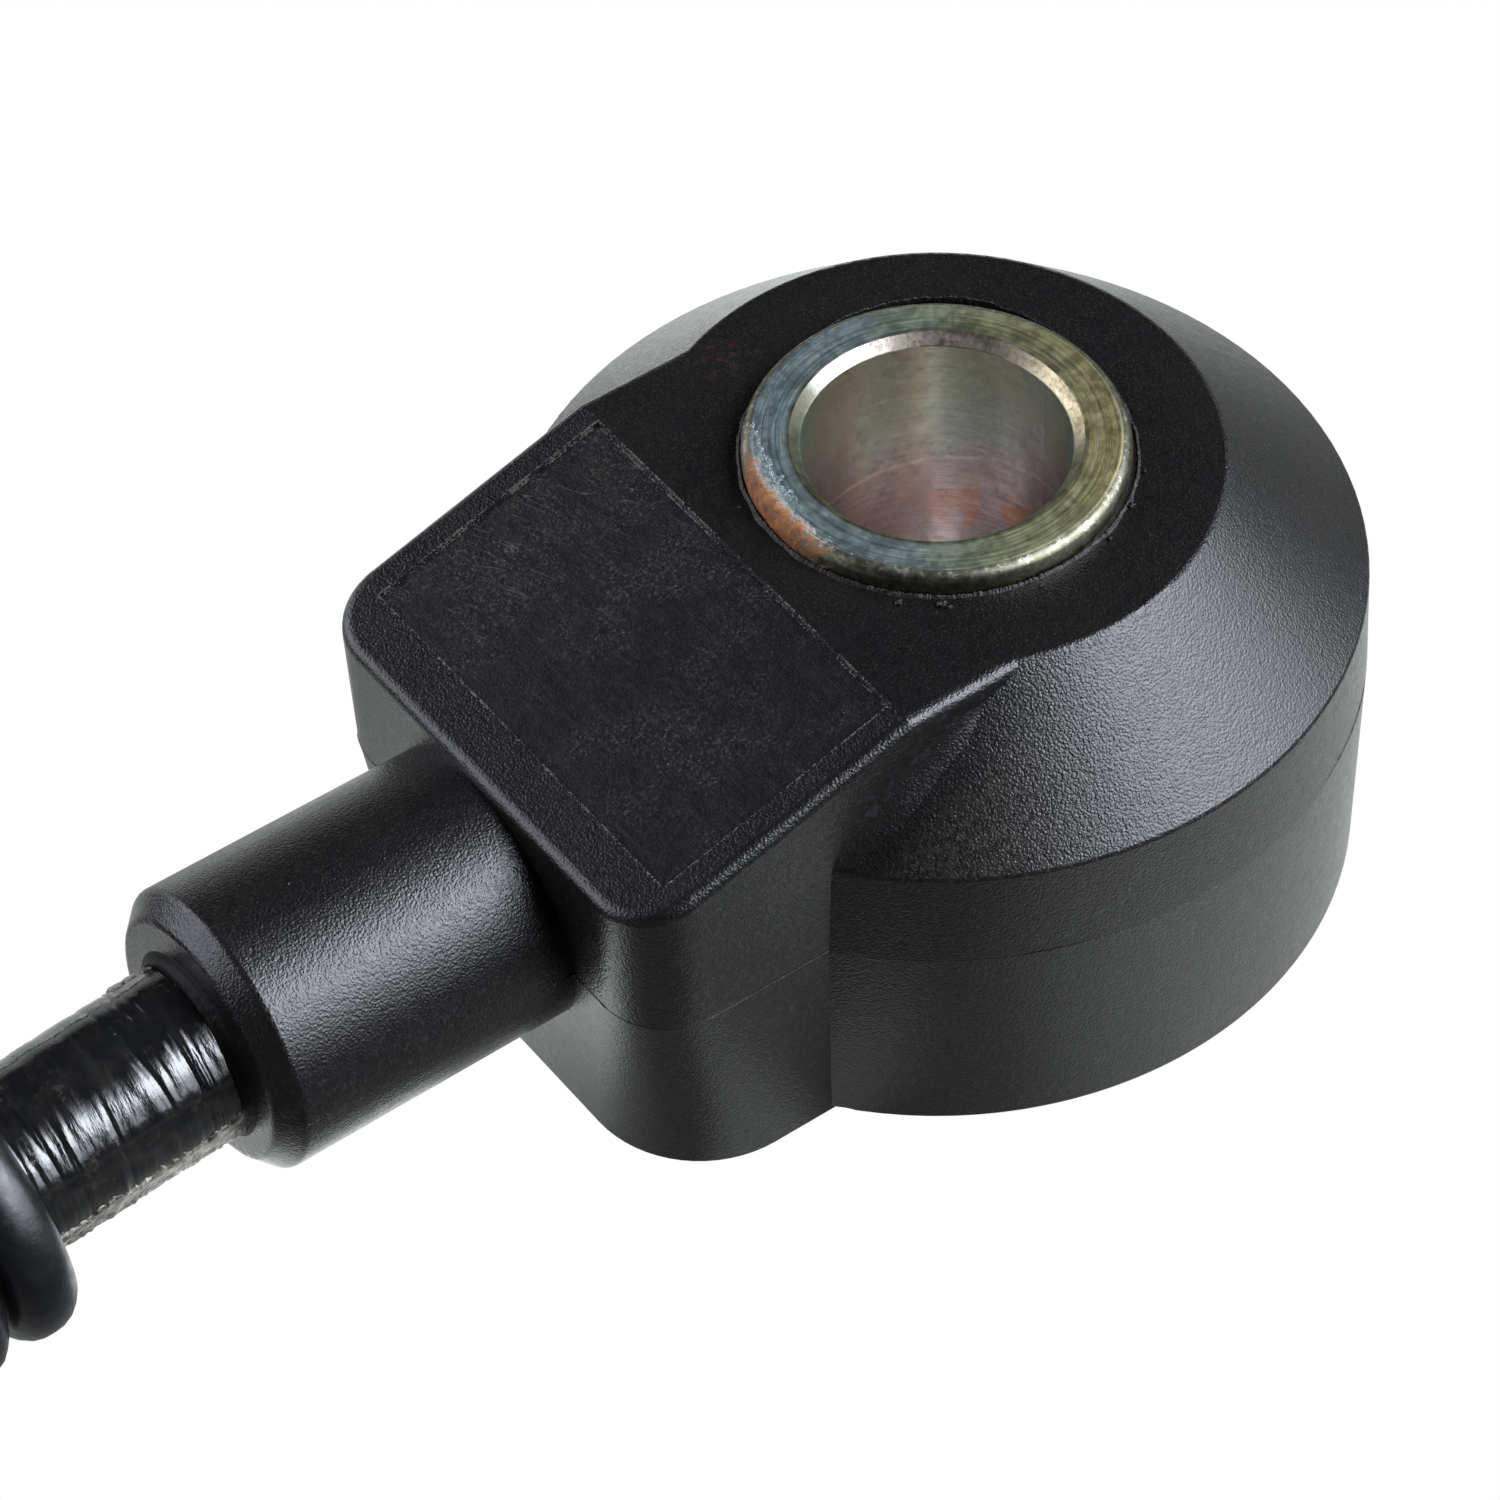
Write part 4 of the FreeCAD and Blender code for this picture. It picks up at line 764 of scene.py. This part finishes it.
# ------------------------------------------------------------------------------------------ plated sleeve
def plating():
    n = Nodes("plated_steel_skin")
    up = n.facing_up()
    r = n.vec("LENGTH", n.xyz(n.x, n.y, 0.0))
    soft = n.noise(n.co, 0.7, 3.0, 0.6)
    mid = n.noise(n.co, 2.0, 4.0, 0.65)
    fine = n.noise(n.co, 7.0, 2.0, 0.6)
    face = n.mul(n.step(up, 0.95, 0.985), n.step(n.z, 17.0, 17.4))
    wall = n.mul(n.step(r, 4.32, 4.22), n.band(up, 0.0, 0.35, 0.2))
    # turned rings on the face; the steel blue on one side and olive on the other is partly the plating's own tint and
    # partly painted reflection
    turned = n.noise(n.xyz(n.mul(r, 9.0), n.mul(n.x, 0.16), n.mul(n.y, 0.16)), 1.0, 5.0, 0.75)
    cuts = n.noise(n.xyz(n.mul(r, 13.0), n.mul(n.x, 0.35), n.mul(n.y, 0.35)), 1.0, 2.0, 0.6)
    across = n.m("DIVIDE", n.vec("DOT_PRODUCT", n.co, (0.871, -0.492, 0.0)), 5.2)
    tint = n.add(n.mul(n.add(across, n.mul(n.sub(soft, 0.5), 0.55)), 0.5), n.add(0.5, n.mul(n.sub(turned, 0.5), 0.20)))
    tone = n.ramp(tint, [(0.02, (0.36, 0.50, 0.54)), (0.34, (0.42, 0.56, 0.57)), (0.46, (0.45, 0.54, 0.42)), (0.62, (0.48, 0.52, 0.28)), (0.98, (0.62, 0.56, 0.25))])
    tone = n.mix(n.step(turned, 0.50, 0.62, 0.0, 0.50), tone, (0.78, 0.75, 0.60))
    tone = n.mix(n.step(turned, 0.49, 0.38, 0.0, 0.58), tone, (0.17, 0.18, 0.145))
    scraped = n.mul(n.step(cuts, 0.57, 0.66), n.step(n.noise(n.co, 1.3, 3.0, 0.6), 0.45, 0.62))
    tone = n.mix(n.mul(scraped, 0.6), tone, (0.90, 0.88, 0.76))
    crumbs = n.mul(n.step(n.noise(n.co, 6.0, 3.0, 0.7), 0.60, 0.68), n.step(mid, 0.46, 0.60))
    tone = n.mix(n.mul(crumbs, 0.45), tone, (0.66, 0.67, 0.58))
    # bore wall: grey green above, pink brown below, with a ring mark where the colour changes
    level = n.sub(n.z, n.add(n.add(12.79, n.mul(n.x, 0.0954)), n.mul(n.y, -0.1432)))
    depth = n.step(n.add(level, n.mul(n.sub(soft, 0.5), 3.0)), 3.4, -1.6, smooth=False)
    lines = n.noise(n.xyz(n.mul(n.x, 0.12), n.mul(n.y, 0.12), n.mul(n.z, 6.0)), 1.0, 4.0, 0.65)
    bore = n.ramp(depth, [(0.0, (0.74, 0.92, 0.72)), (0.30, (0.70, 0.86, 0.76)), (0.50, (0.64, 0.74, 0.69)), (0.66, (0.62, 0.60, 0.60)), (1.0, (0.57, 0.47, 0.49))])
    orange = n.mul(n.step(depth, 0.70, 0.98), n.step(n.noise(n.co, 0.9, 3.0, 0.6), 0.44, 0.60), n.step(n.vec("DOT_PRODUCT", n.co, tuple(RIGHT)), -1.5, 2.5))
    bore = n.mix(n.mul(orange, 0.8), bore, (0.66, 0.33, 0.17))
    bore = n.mix(n.step(lines, 0.42, 0.72, 0.0, 0.30), bore, (0.76, 0.73, 0.66))
    bore = n.mix(n.mul(n.step(mid, 0.46, 0.64), n.step(fine, 0.42, 0.62), 0.32), bore, (0.24, 0.25, 0.15))
    mark = n.mul(n.band(n.add(level, n.mul(n.sub(fine, 0.5), 0.12)), 0.0, 0.05, 0.07), n.step(n.noise(n.co, 0.9, 3.0, 0.6), 0.34, 0.56, 0.25, 1.0))
    bore = n.mix(n.mul(mark, 0.62), bore, (0.98, 0.92, 0.78))
    bore = n.mix(n.mul(n.band(n.z, 16.90, 0.03, 0.05), 0.35), bore, (0.90, 0.88, 0.76))
    # the outer rounding and the countersink: duller, nicked bright; the arcs round the countersink are painted
    # reflection, and the lower right of the rounding has painted shade
    worn = n.mix(n.step(n.noise(n.co, 3.2, 4.0, 0.7), 0.40, 0.60), (0.22, 0.215, 0.165), (0.13, 0.13, 0.085))
    col = n.mix(face, worn, tone)
    col = n.mix(wall, col, bore)
    dull = n.mul(n.band(r, 4.60, 0.030, 0.05), face)
    col = n.mix(n.mul(dull, 0.5), col, (0.17, 0.17, 0.13))
    sink = n.mul(n.step(r, 4.62, 4.56), n.step(r, 4.20, 4.24), n.step(n.z, 17.3, 17.4))
    turn = n.m("ARCTAN2", n.vec("DOT_PRODUCT", n.co, tuple(-AWAY)), n.vec("DOT_PRODUCT", n.co, tuple(RIGHT)))
    turn = n.add(n.add(n.mul(turn, 0.5 / math.pi), 0.5), n.mul(n.sub(mid, 0.5), 0.06))
    # painted reflection: bright and yellowish arcs round the countersink, set by the turn about the bore
    painted_reflection_arcs = n.ramp(turn, [(0.0, (0.085, 0.090, 0.062)), (0.080, (0.13, 0.13, 0.095)), (0.115, (0.55, 0.53, 0.49)), (0.155, (0.58, 0.54, 0.50)), (0.205, (0.31, 0.26, 0.23)), (0.300, (0.25, 0.21, 0.18)), (0.365, (0.28, 0.24, 0.17)), (0.410, (0.50, 0.43, 0.28)), (0.470, (0.47, 0.40, 0.25)), (0.530, (0.18, 0.165, 0.11)), (1.0, (0.085, 0.090, 0.062))])
    grime = n.mul(sink, n.step(mid, 0.40, 0.62, 0.15, 1.0))
    col = n.mix(sink, col, painted_reflection_arcs)
    col = n.mix(n.mul(sink, n.step(fine, 0.50, 0.62), 0.45), col, (0.10, 0.10, 0.07))
    # painted shade on the lower right of the outer rounding, broken up by noise
    shaded = n.mul(n.step(r, 5.72, 5.90), n.step(turn, 0.50, 0.56), n.step(turn, 0.74, 0.68))
    col = n.mix(n.mul(shaded, n.step(fine, 0.60, 0.46, 0.25, 0.75)), col, (0.13, 0.13, 0.085))
    nick = n.mul(n.band(r, 5.72, 0.12, 0.22), n.step(n.noise(n.co, 3.4, 4.0, 0.7), 0.56, 0.68), n.step(n.z, 17.2, 17.4))
    col = n.mix(n.mul(nick, 0.6), col, (0.74, 0.74, 0.66))
    # rust along the outer edge of the face, at the side towards the lead, with a pale crust above it
    fr = n.m("DIVIDE", n.sub(r, 5.93), 0.50)
    fy = n.m("DIVIDE", n.sub(n.y, 0.55), 2.15)
    far = n.m("SQRT", n.add(n.mul(fr, fr), n.mul(fy, fy)))
    ragged = n.add(far, n.mul(n.sub(n.noise(n.co, 2.6, 6.0, 0.75), 0.5), 2.4))
    west = n.step(n.x, -3.8, -4.4)
    rust = n.mul(n.step(ragged, 1.30, 0.60), west, n.step(n.z, 16.6, 16.9))
    crust = n.mul(n.step(n.m("ABSOLUTE", n.sub(ragged, 1.40)), 0.30, 0.05), west, n.step(n.y, -0.6, 0.8), n.step(n.z, 17.0, 17.2))
    rust_tone = n.ramp(n.noise(n.co, 3.2, 5.0, 0.7), [(0.30, (0.055, 0.020, 0.008)), (0.46, (0.20, 0.065, 0.016)), (0.60, (0.36, 0.135, 0.034)), (0.72, (0.46, 0.23, 0.080))])
    col = n.mix(n.mul(crust, 0.22), col, (0.40, 0.42, 0.33))
    col = n.mix(n.mul(rust, 0.95), col, rust_tone)
    metallic = n.step(n.m("MAXIMUM", rust, n.mul(crust, 0.12)), 0.0, 1.0, 0.98, 0.0)
    rough = n.add(n.step(mid, 0.35, 0.65, 0.37, 0.47), n.mul(rust, 0.35))
    rough = n.add(rough, n.mul(wall, -0.20))
    rough = n.add(rough, n.mul(n.step(r, 5.72, 5.95), -0.06))
    rough = n.add(rough, n.mul(grime, 0.15))
    h = n.add(n.mul(turned, face, 0.9), n.mul(cuts, face, 0.5))
    h = n.add(h, n.mul(lines, wall, 0.45))
    h = n.add(h, n.mul(mid, 0.35))
    h = n.add(h, n.mul(fine, n.step(wall, 0.0, 1.0, 0.30, 0.06)))
    h = n.add(h, n.mul(n.noise(n.co, 6.0, 3.0, 0.6), n.add(rust, n.mul(crust, 0.5)), 2.0))
    return n.out(col, rough, n.bump(h, 0.015), metallic)


def jacket():
    n = Nodes("cable_jacket_skin")
    grime = n.noise(n.co, 1.4, 4.0, 0.65)
    fine = n.noise(n.xyz(n.mul(n.x, 5.0), n.mul(n.y, 1.0), n.mul(n.z, 1.0)), 1.0, 3.0, 0.6)
    smear = n.noise(n.xyz(n.mul(n.x, 2.2), n.mul(n.y, 0.6), n.mul(n.z, 0.6)), 1.0, 5.0, 0.7)
    base = n.mix(n.step(grime, 0.40, 0.70), (0.0075, 0.0078, 0.0085), (0.0140, 0.0132, 0.0122))
    base = n.mix(n.mul(n.step(smear, 0.50, 0.68), 0.4), base, (0.022, 0.022, 0.021))
    dust = n.specks(2.6, 0.12, 0.20)
    base = n.mix(n.mul(dust, 0.45), base, (0.14, 0.12, 0.09))
    brown = n.mul(n.step(n.noise(n.co, 0.9, 4.0, 0.65), 0.53, 0.66), n.step(n.noise(n.co, 4.0, 3.0, 0.6), 0.48, 0.60))
    base = n.mix(n.mul(brown, 0.14), base, (0.060, 0.042, 0.028))
    rough = n.step(smear, 0.36, 0.68, 0.055, 0.16)
    rough = n.add(rough, n.mul(brown, 0.2))
    bump = n.bump(n.add(n.mul(fine, 0.8), n.mul(grime, 0.8)), 0.018)
    return n.out(base, rough, bump, Specular_IOR_Level=0.85)


def conduit_skin():
    n = Nodes("conduit_skin")
    cloud = n.noise(n.co, 1.1, 4.0, 0.6)
    base = n.mix(n.step(cloud, 0.4, 0.7), (0.0050, 0.0053, 0.0066), (0.0085, 0.0085, 0.0095))
    dust = n.specks(1.7, 0.10, 0.16)
    base = n.mix(n.mul(dust, 0.6), base, (0.14, 0.135, 0.12))
    rough = n.step(n.noise(n.co, 2.6, 3.0, 0.6), 0.3, 0.7, 0.28, 0.38)
    bump = n.bump(n.add(n.noise(n.co, 1.6, 3.0, 0.5), n.mul(n.noise(n.co, 9.0, 2.0, 0.5), 0.25)), 0.020)
    return n.out(base, rough, bump)


def plain_metal(name, a, b, rough0, rough1, stretch=(1, 1, 8), scale=1.0, depth=0.01):
    n = Nodes(name)
    v = n.xyz(n.mul(n.x, stretch[0]), n.mul(n.y, stretch[1]), n.mul(n.z, stretch[2]))
    f = n.noise(v, scale, 4.0, 0.6)
    col = n.mix(n.step(f, 0.3, 0.7), a, b)
    return n.out(col, n.step(f, 0.3, 0.7, rough0, rough1), n.bump(f, depth), Metallic=1.0)


def plain_plastic(name, a, b, rough0, rough1, scale=8.0, depth=0.012, spec=0.5):
    n = Nodes(name)
    f = n.noise(n.co, scale, 3.0, 0.6)
    cloud = n.noise(n.co, 0.4, 3.0, 0.6)
    col = n.mix(n.step(cloud, 0.20, 0.80), a, b)
    dust = n.specks(1.5, 0.08, 0.12)
    col = n.mix(n.mul(dust, 0.45), col, tuple(min(1.0, c * 2 + 0.12) for c in b))
    return n.out(col, n.step(cloud, 0.15, 0.85, rough0, rough1), n.bump(f, depth), Specular_IOR_Level=spec)


M_MOULD = moulding()
wear(cable, jacket())
wear(conduit, conduit_skin())
wear(parting, M_MOULD)
wear(torn, torn_plastic())
wear(sealant, sealant_skin())
# the mouth fillet: near-black and matte, partly a black smear and partly painted shade in the mouth
wear(fillet, plain_plastic("mouth_fillet_shade_skin", (0.0025, 0.0022, 0.0022), (0.0050, 0.0040, 0.0036), 0.50, 0.66, 4.0, 0.04, 0.20))
LOOK = {
    "housing": M_MOULD,
    "sleeve": plating(),
    "connector_housing": plain_plastic("connector_skin", (0.011, 0.011, 0.012), (0.016, 0.016, 0.017), 0.38, 0.5),
    "wire_seal": plain_plastic("seal_skin", (0.30, 0.075, 0.035), (0.36, 0.10, 0.05), 0.45, 0.6),
    "pin_lock": plain_plastic("lock_skin", (0.36, 0.035, 0.025), (0.42, 0.05, 0.035), 0.4, 0.5),
    "insulating_tube": plain_plastic("film_skin", (0.42, 0.20, 0.04), (0.50, 0.26, 0.06), 0.3, 0.4),
    "lower_contact": plain_metal("contact_skin", (0.60, 0.45, 0.18), (0.72, 0.56, 0.26), 0.25, 0.4),
    "piezo_ring": plain_plastic("ceramic_skin", (0.55, 0.50, 0.40), (0.62, 0.57, 0.46), 0.5, 0.6),
    "seismic_mass": plain_metal("turned_steel_skin", (0.40, 0.41, 0.43), (0.52, 0.53, 0.55), 0.25, 0.4),
    "disc_spring": plain_metal("spring_skin", (0.14, 0.15, 0.19), (0.22, 0.23, 0.27), 0.3, 0.4),
    "crimp_1": plain_metal("crimp_skin", (0.62, 0.56, 0.42), (0.72, 0.66, 0.52), 0.3, 0.4),
    "conductor_1": plain_metal("copper_skin", (0.70, 0.32, 0.18), (0.82, 0.42, 0.26), 0.25, 0.35, (2, 14, 14), 1.0, 0.05),
    "core_1": plain_plastic("light_core_skin", (0.50, 0.50, 0.48), (0.58, 0.58, 0.56), 0.4, 0.5),
    "core_2": plain_plastic("dark_core_skin", (0.020, 0.020, 0.022), (0.03, 0.03, 0.032), 0.4, 0.5),
    "pin_1": plain_metal("tinned_skin", (0.60, 0.59, 0.56), (0.70, 0.69, 0.66), 0.22, 0.35, (8, 1, 8)),
}
SAME = {
    "connector_cap": "connector_housing",
    "lower_insulator": "insulating_tube",
    "upper_insulator": "insulating_tube",
    "upper_contact": "lower_contact",
    "clamp_nut": "seismic_mass",
    "crimp_2": "crimp_1",
    "conductor_2": "conductor_1",
    "core_3": "core_1",
    "core_4": "core_2",
    "pin_2": "pin_1",
}
for name, o in NODES.items():
    if name not in ("cable", "conduit"):
        wear(o, LOOK[SAME.get(name, name)])


# ------------------------------------------------------------------------------------------ studio
def plane(name, half):
    data = bpy.data.meshes.new(name)
    data.from_pydata([(-half, -half, 0), (half, -half, 0), (half, half, 0), (-half, half, 0)], [], [(0, 1, 2, 3)])
    o = bpy.data.objects.new(name, data)
    scene.collection.objects.link(o)
    return o


def glow(name, o):
    """A material that only gives off light, for a stage object, and its nodes."""
    m = bpy.data.materials.new(name)
    m.use_nodes = True
    t = m.node_tree
    t.nodes.remove(t.nodes["Principled BSDF"])
    e = t.nodes.new("ShaderNodeEmission")
    t.links.new(e.outputs[0], t.nodes["Material Output"].inputs["Surface"])
    o.data.materials.append(m)
    return Tree(t), e


def studio():
    # the pale floor that is seen, and one just as large that only lights the object from below
    floor = plane("floor", 3.0)
    _, e = glow("pale_floor", floor)
    e.inputs["Color"].default_value = (1, 1, 1, 1)
    floor.visible_diffuse = floor.visible_glossy = floor.visible_transmission = floor.visible_shadow = False
    bounce = plane("floor_bounce", 3.0)
    bounce.visible_camera = bounce.visible_shadow = False
    n, e = glow("floor_bounce", bounce)
    tc = n.t.nodes.new("ShaderNodeTexCoord")
    co = n.vec("MULTIPLY", tc.outputs["Object"], (1000, 1000, 1000))
    r = n.vec("LENGTH", co)
    unit = n.vec("NORMALIZE", co)
    side = n.vec("DOT_PRODUCT", unit, tuple(RIGHT))
    near = n.vec("DOT_PRODUCT", unit, tuple(-AWAY))
    turn = n.m("ARCTAN2", near, side)
    share = n.m("ADD", n.mul(turn, 0.5 / math.pi), 0.5)

    def round_about(values):
        """Strength by the azimuth from the right towards the camera."""
        stops = sorted((((a + 180) % 360) / 360.0, v / 2.0) for a, v in values)
        first = (stops[0][1] + stops[-1][1]) / 2
        return n.mul(n.ramp(share, [(0.0, first)] + [p for p in stops if p[0] > 0.004] + [(1.0, first)]), 2.0)

    close_by = round_about([(0, 1.0), (30, 1.0), (50, 0.95), (66, 0.72), (80, 0.34), (100, 0.15), (113, 0.20), (120, 0.16), (128, 0.32), (136, 0.60), (146, 0.92), (168, 0.88), (185, 0.50), (210, 0.58), (240, 0.60), (270, 0.92), (300, 0.95), (330, 1.0)])
    further = round_about([(0, 0.10), (30, 0.02), (88, 0.04), (110, 0.14), (126, 0.06), (138, 0.20), (152, 0.85), (182, 0.80), (210, 0.80), (240, 1.3), (270, 1.85), (290, 0.70), (305, 0.35), (330, 0.05)])
    away_ = n.add(0.14, n.mul(n.step(n.mul(side, -1.0), 0.4, 1.0), 0.80))
    mix1 = n.step(r, 24.0, 36.0)
    mix2 = n.step(r, 80.0, 130.0)
    v = n.add(n.mul(close_by, n.sub(1.0, mix1)), n.mul(further, mix1))
    # brighter in the corner beside the connection block
    east = n.vec("DOT_PRODUCT", co, (1.0, 0.0, 0.0))
    beside = n.mul(n.band(east, -12.6, 1.2, 1.8), n.step(n.vec("DOT_PRODUCT", co, (0.0, 1.0, 0.0)), -15.5, -13.2))
    v = n.add(v, n.mul(beside, 0.46))
    # and right under the spout
    under = n.mul(n.step(east, -18.5, -20.5), n.step(east, -31.0, -29.0), n.step(n.m("ABSOLUTE", n.vec("DOT_PRODUCT", co, (0.0, 1.0, 0.0))), 5.5, 3.0))
    v = n.add(v, n.mul(under, 1.15))
    v = n.add(n.mul(v, n.sub(1.0, mix2)), n.mul(away_, mix2))
    in_bore = n.step(r, 4.6, 4.3)
    across = n.vec("DOT_PRODUCT", co, tuple(RIGHT))
    streak = n.add(n.add(0.06, n.mul(n.step(n.m("ABSOLUTE", n.add(across, 0.75)), 1.55, 0.6), 0.9)), n.mul(n.band(across, 1.75, 0.25, 0.5), 0.45))
    v = n.add(n.mul(v, n.sub(1.0, in_bore)), n.mul(in_bore, streak, BORE_GLOW))
    n.put(e.inputs["Strength"], v)
    e.inputs["Color"].default_value = (0.97, 1.0, 1.0, 1)

    # soft boxes: a large one to the right, a low one to the left, and a dark room
    world = bpy.data.worlds.new("studio")
    scene.world = world
    world.use_nodes = True
    w = Tree(world.node_tree)
    bg = world.node_tree.nodes["Background"]
    tc = world.node_tree.nodes.new("ShaderNodeTexCoord")
    d = w.vec("NORMALIZE", tc.outputs["Generated"])
    high = w.vec("DOT_PRODUCT", d, (0, 0, 1))
    flat = w.vec("NORMALIZE", w.vec("MULTIPLY", d, (1, 1, 0)))

    def box(azimuth, full, none, heights, tint):
        """Light from one side: its azimuth from the right towards the camera, in degrees, and its strength by height."""
        a = math.radians(azimuth)
        towards = RIGHT * math.cos(a) - AWAY * math.sin(a)
        turn = w.m("ARCCOSINE", w.vec("DOT_PRODUCT", flat, tuple(towards)))
        inside = w.step(turn, math.radians(full), math.radians(none), 1.0, 0.0)
        tall = w.ramp(high, [(p, v / 20.0) for p, v in heights])
        return w.vec("MULTIPLY", w.vec("MULTIPLY", tall, tuple(20.0 * c for c in tint)), w.xyz(inside, inside, inside))

    key = box(11, 24, 41, [(0.0, 0.0), (0.14, 0.2), (0.24, 3.4), (0.44, 5.0), (0.53, 10.4), (0.62, 14.0), (0.74, 14.0), (0.81, 5.5), (0.89, 1.2), (0.95, 0.0)], (0.93, 0.98, 1.08))
    low = box(2, 12, 26, [(0.0, 1.6), (0.20, 2.2), (0.30, 0.0)], (0.95, 0.99, 1.05))
    wing = box(-32, 12, 30, [(0.0, 0.0), (0.34, 0.1), (0.48, 1.6), (0.70, 2.2), (0.80, 0.0)], (0.93, 0.98, 1.08))
    left = box(190, 24, 40, [(0.0, 2.8), (0.40, 3.4), (0.60, 3.4), (0.70, 1.6), (0.78, 0.0)], (0.94, 0.97, 1.10))
    back = box(270, 40, 85, [(0.0, 0.9), (0.18, 0.5), (0.32, 0.0)], (0.98, 1.03, 0.96))
    light = w.vec("ADD", w.vec("ADD", key, wing), w.vec("ADD", w.vec("ADD", left, low), back))
    seen = world.node_tree.nodes.new("ShaderNodeLightPath")
    colour = w.mix(seen.outputs["Is Camera Ray"], light, (1.0, 1.0, 1.0))
    w.link(colour, bg.inputs["Color"])
    bg.inputs["Strength"].default_value = 1.0


BORE_GLOW = 1.03
studio()

# ------------------------------------------------------------------------------------------ end
bpy.context.view_layer.update()
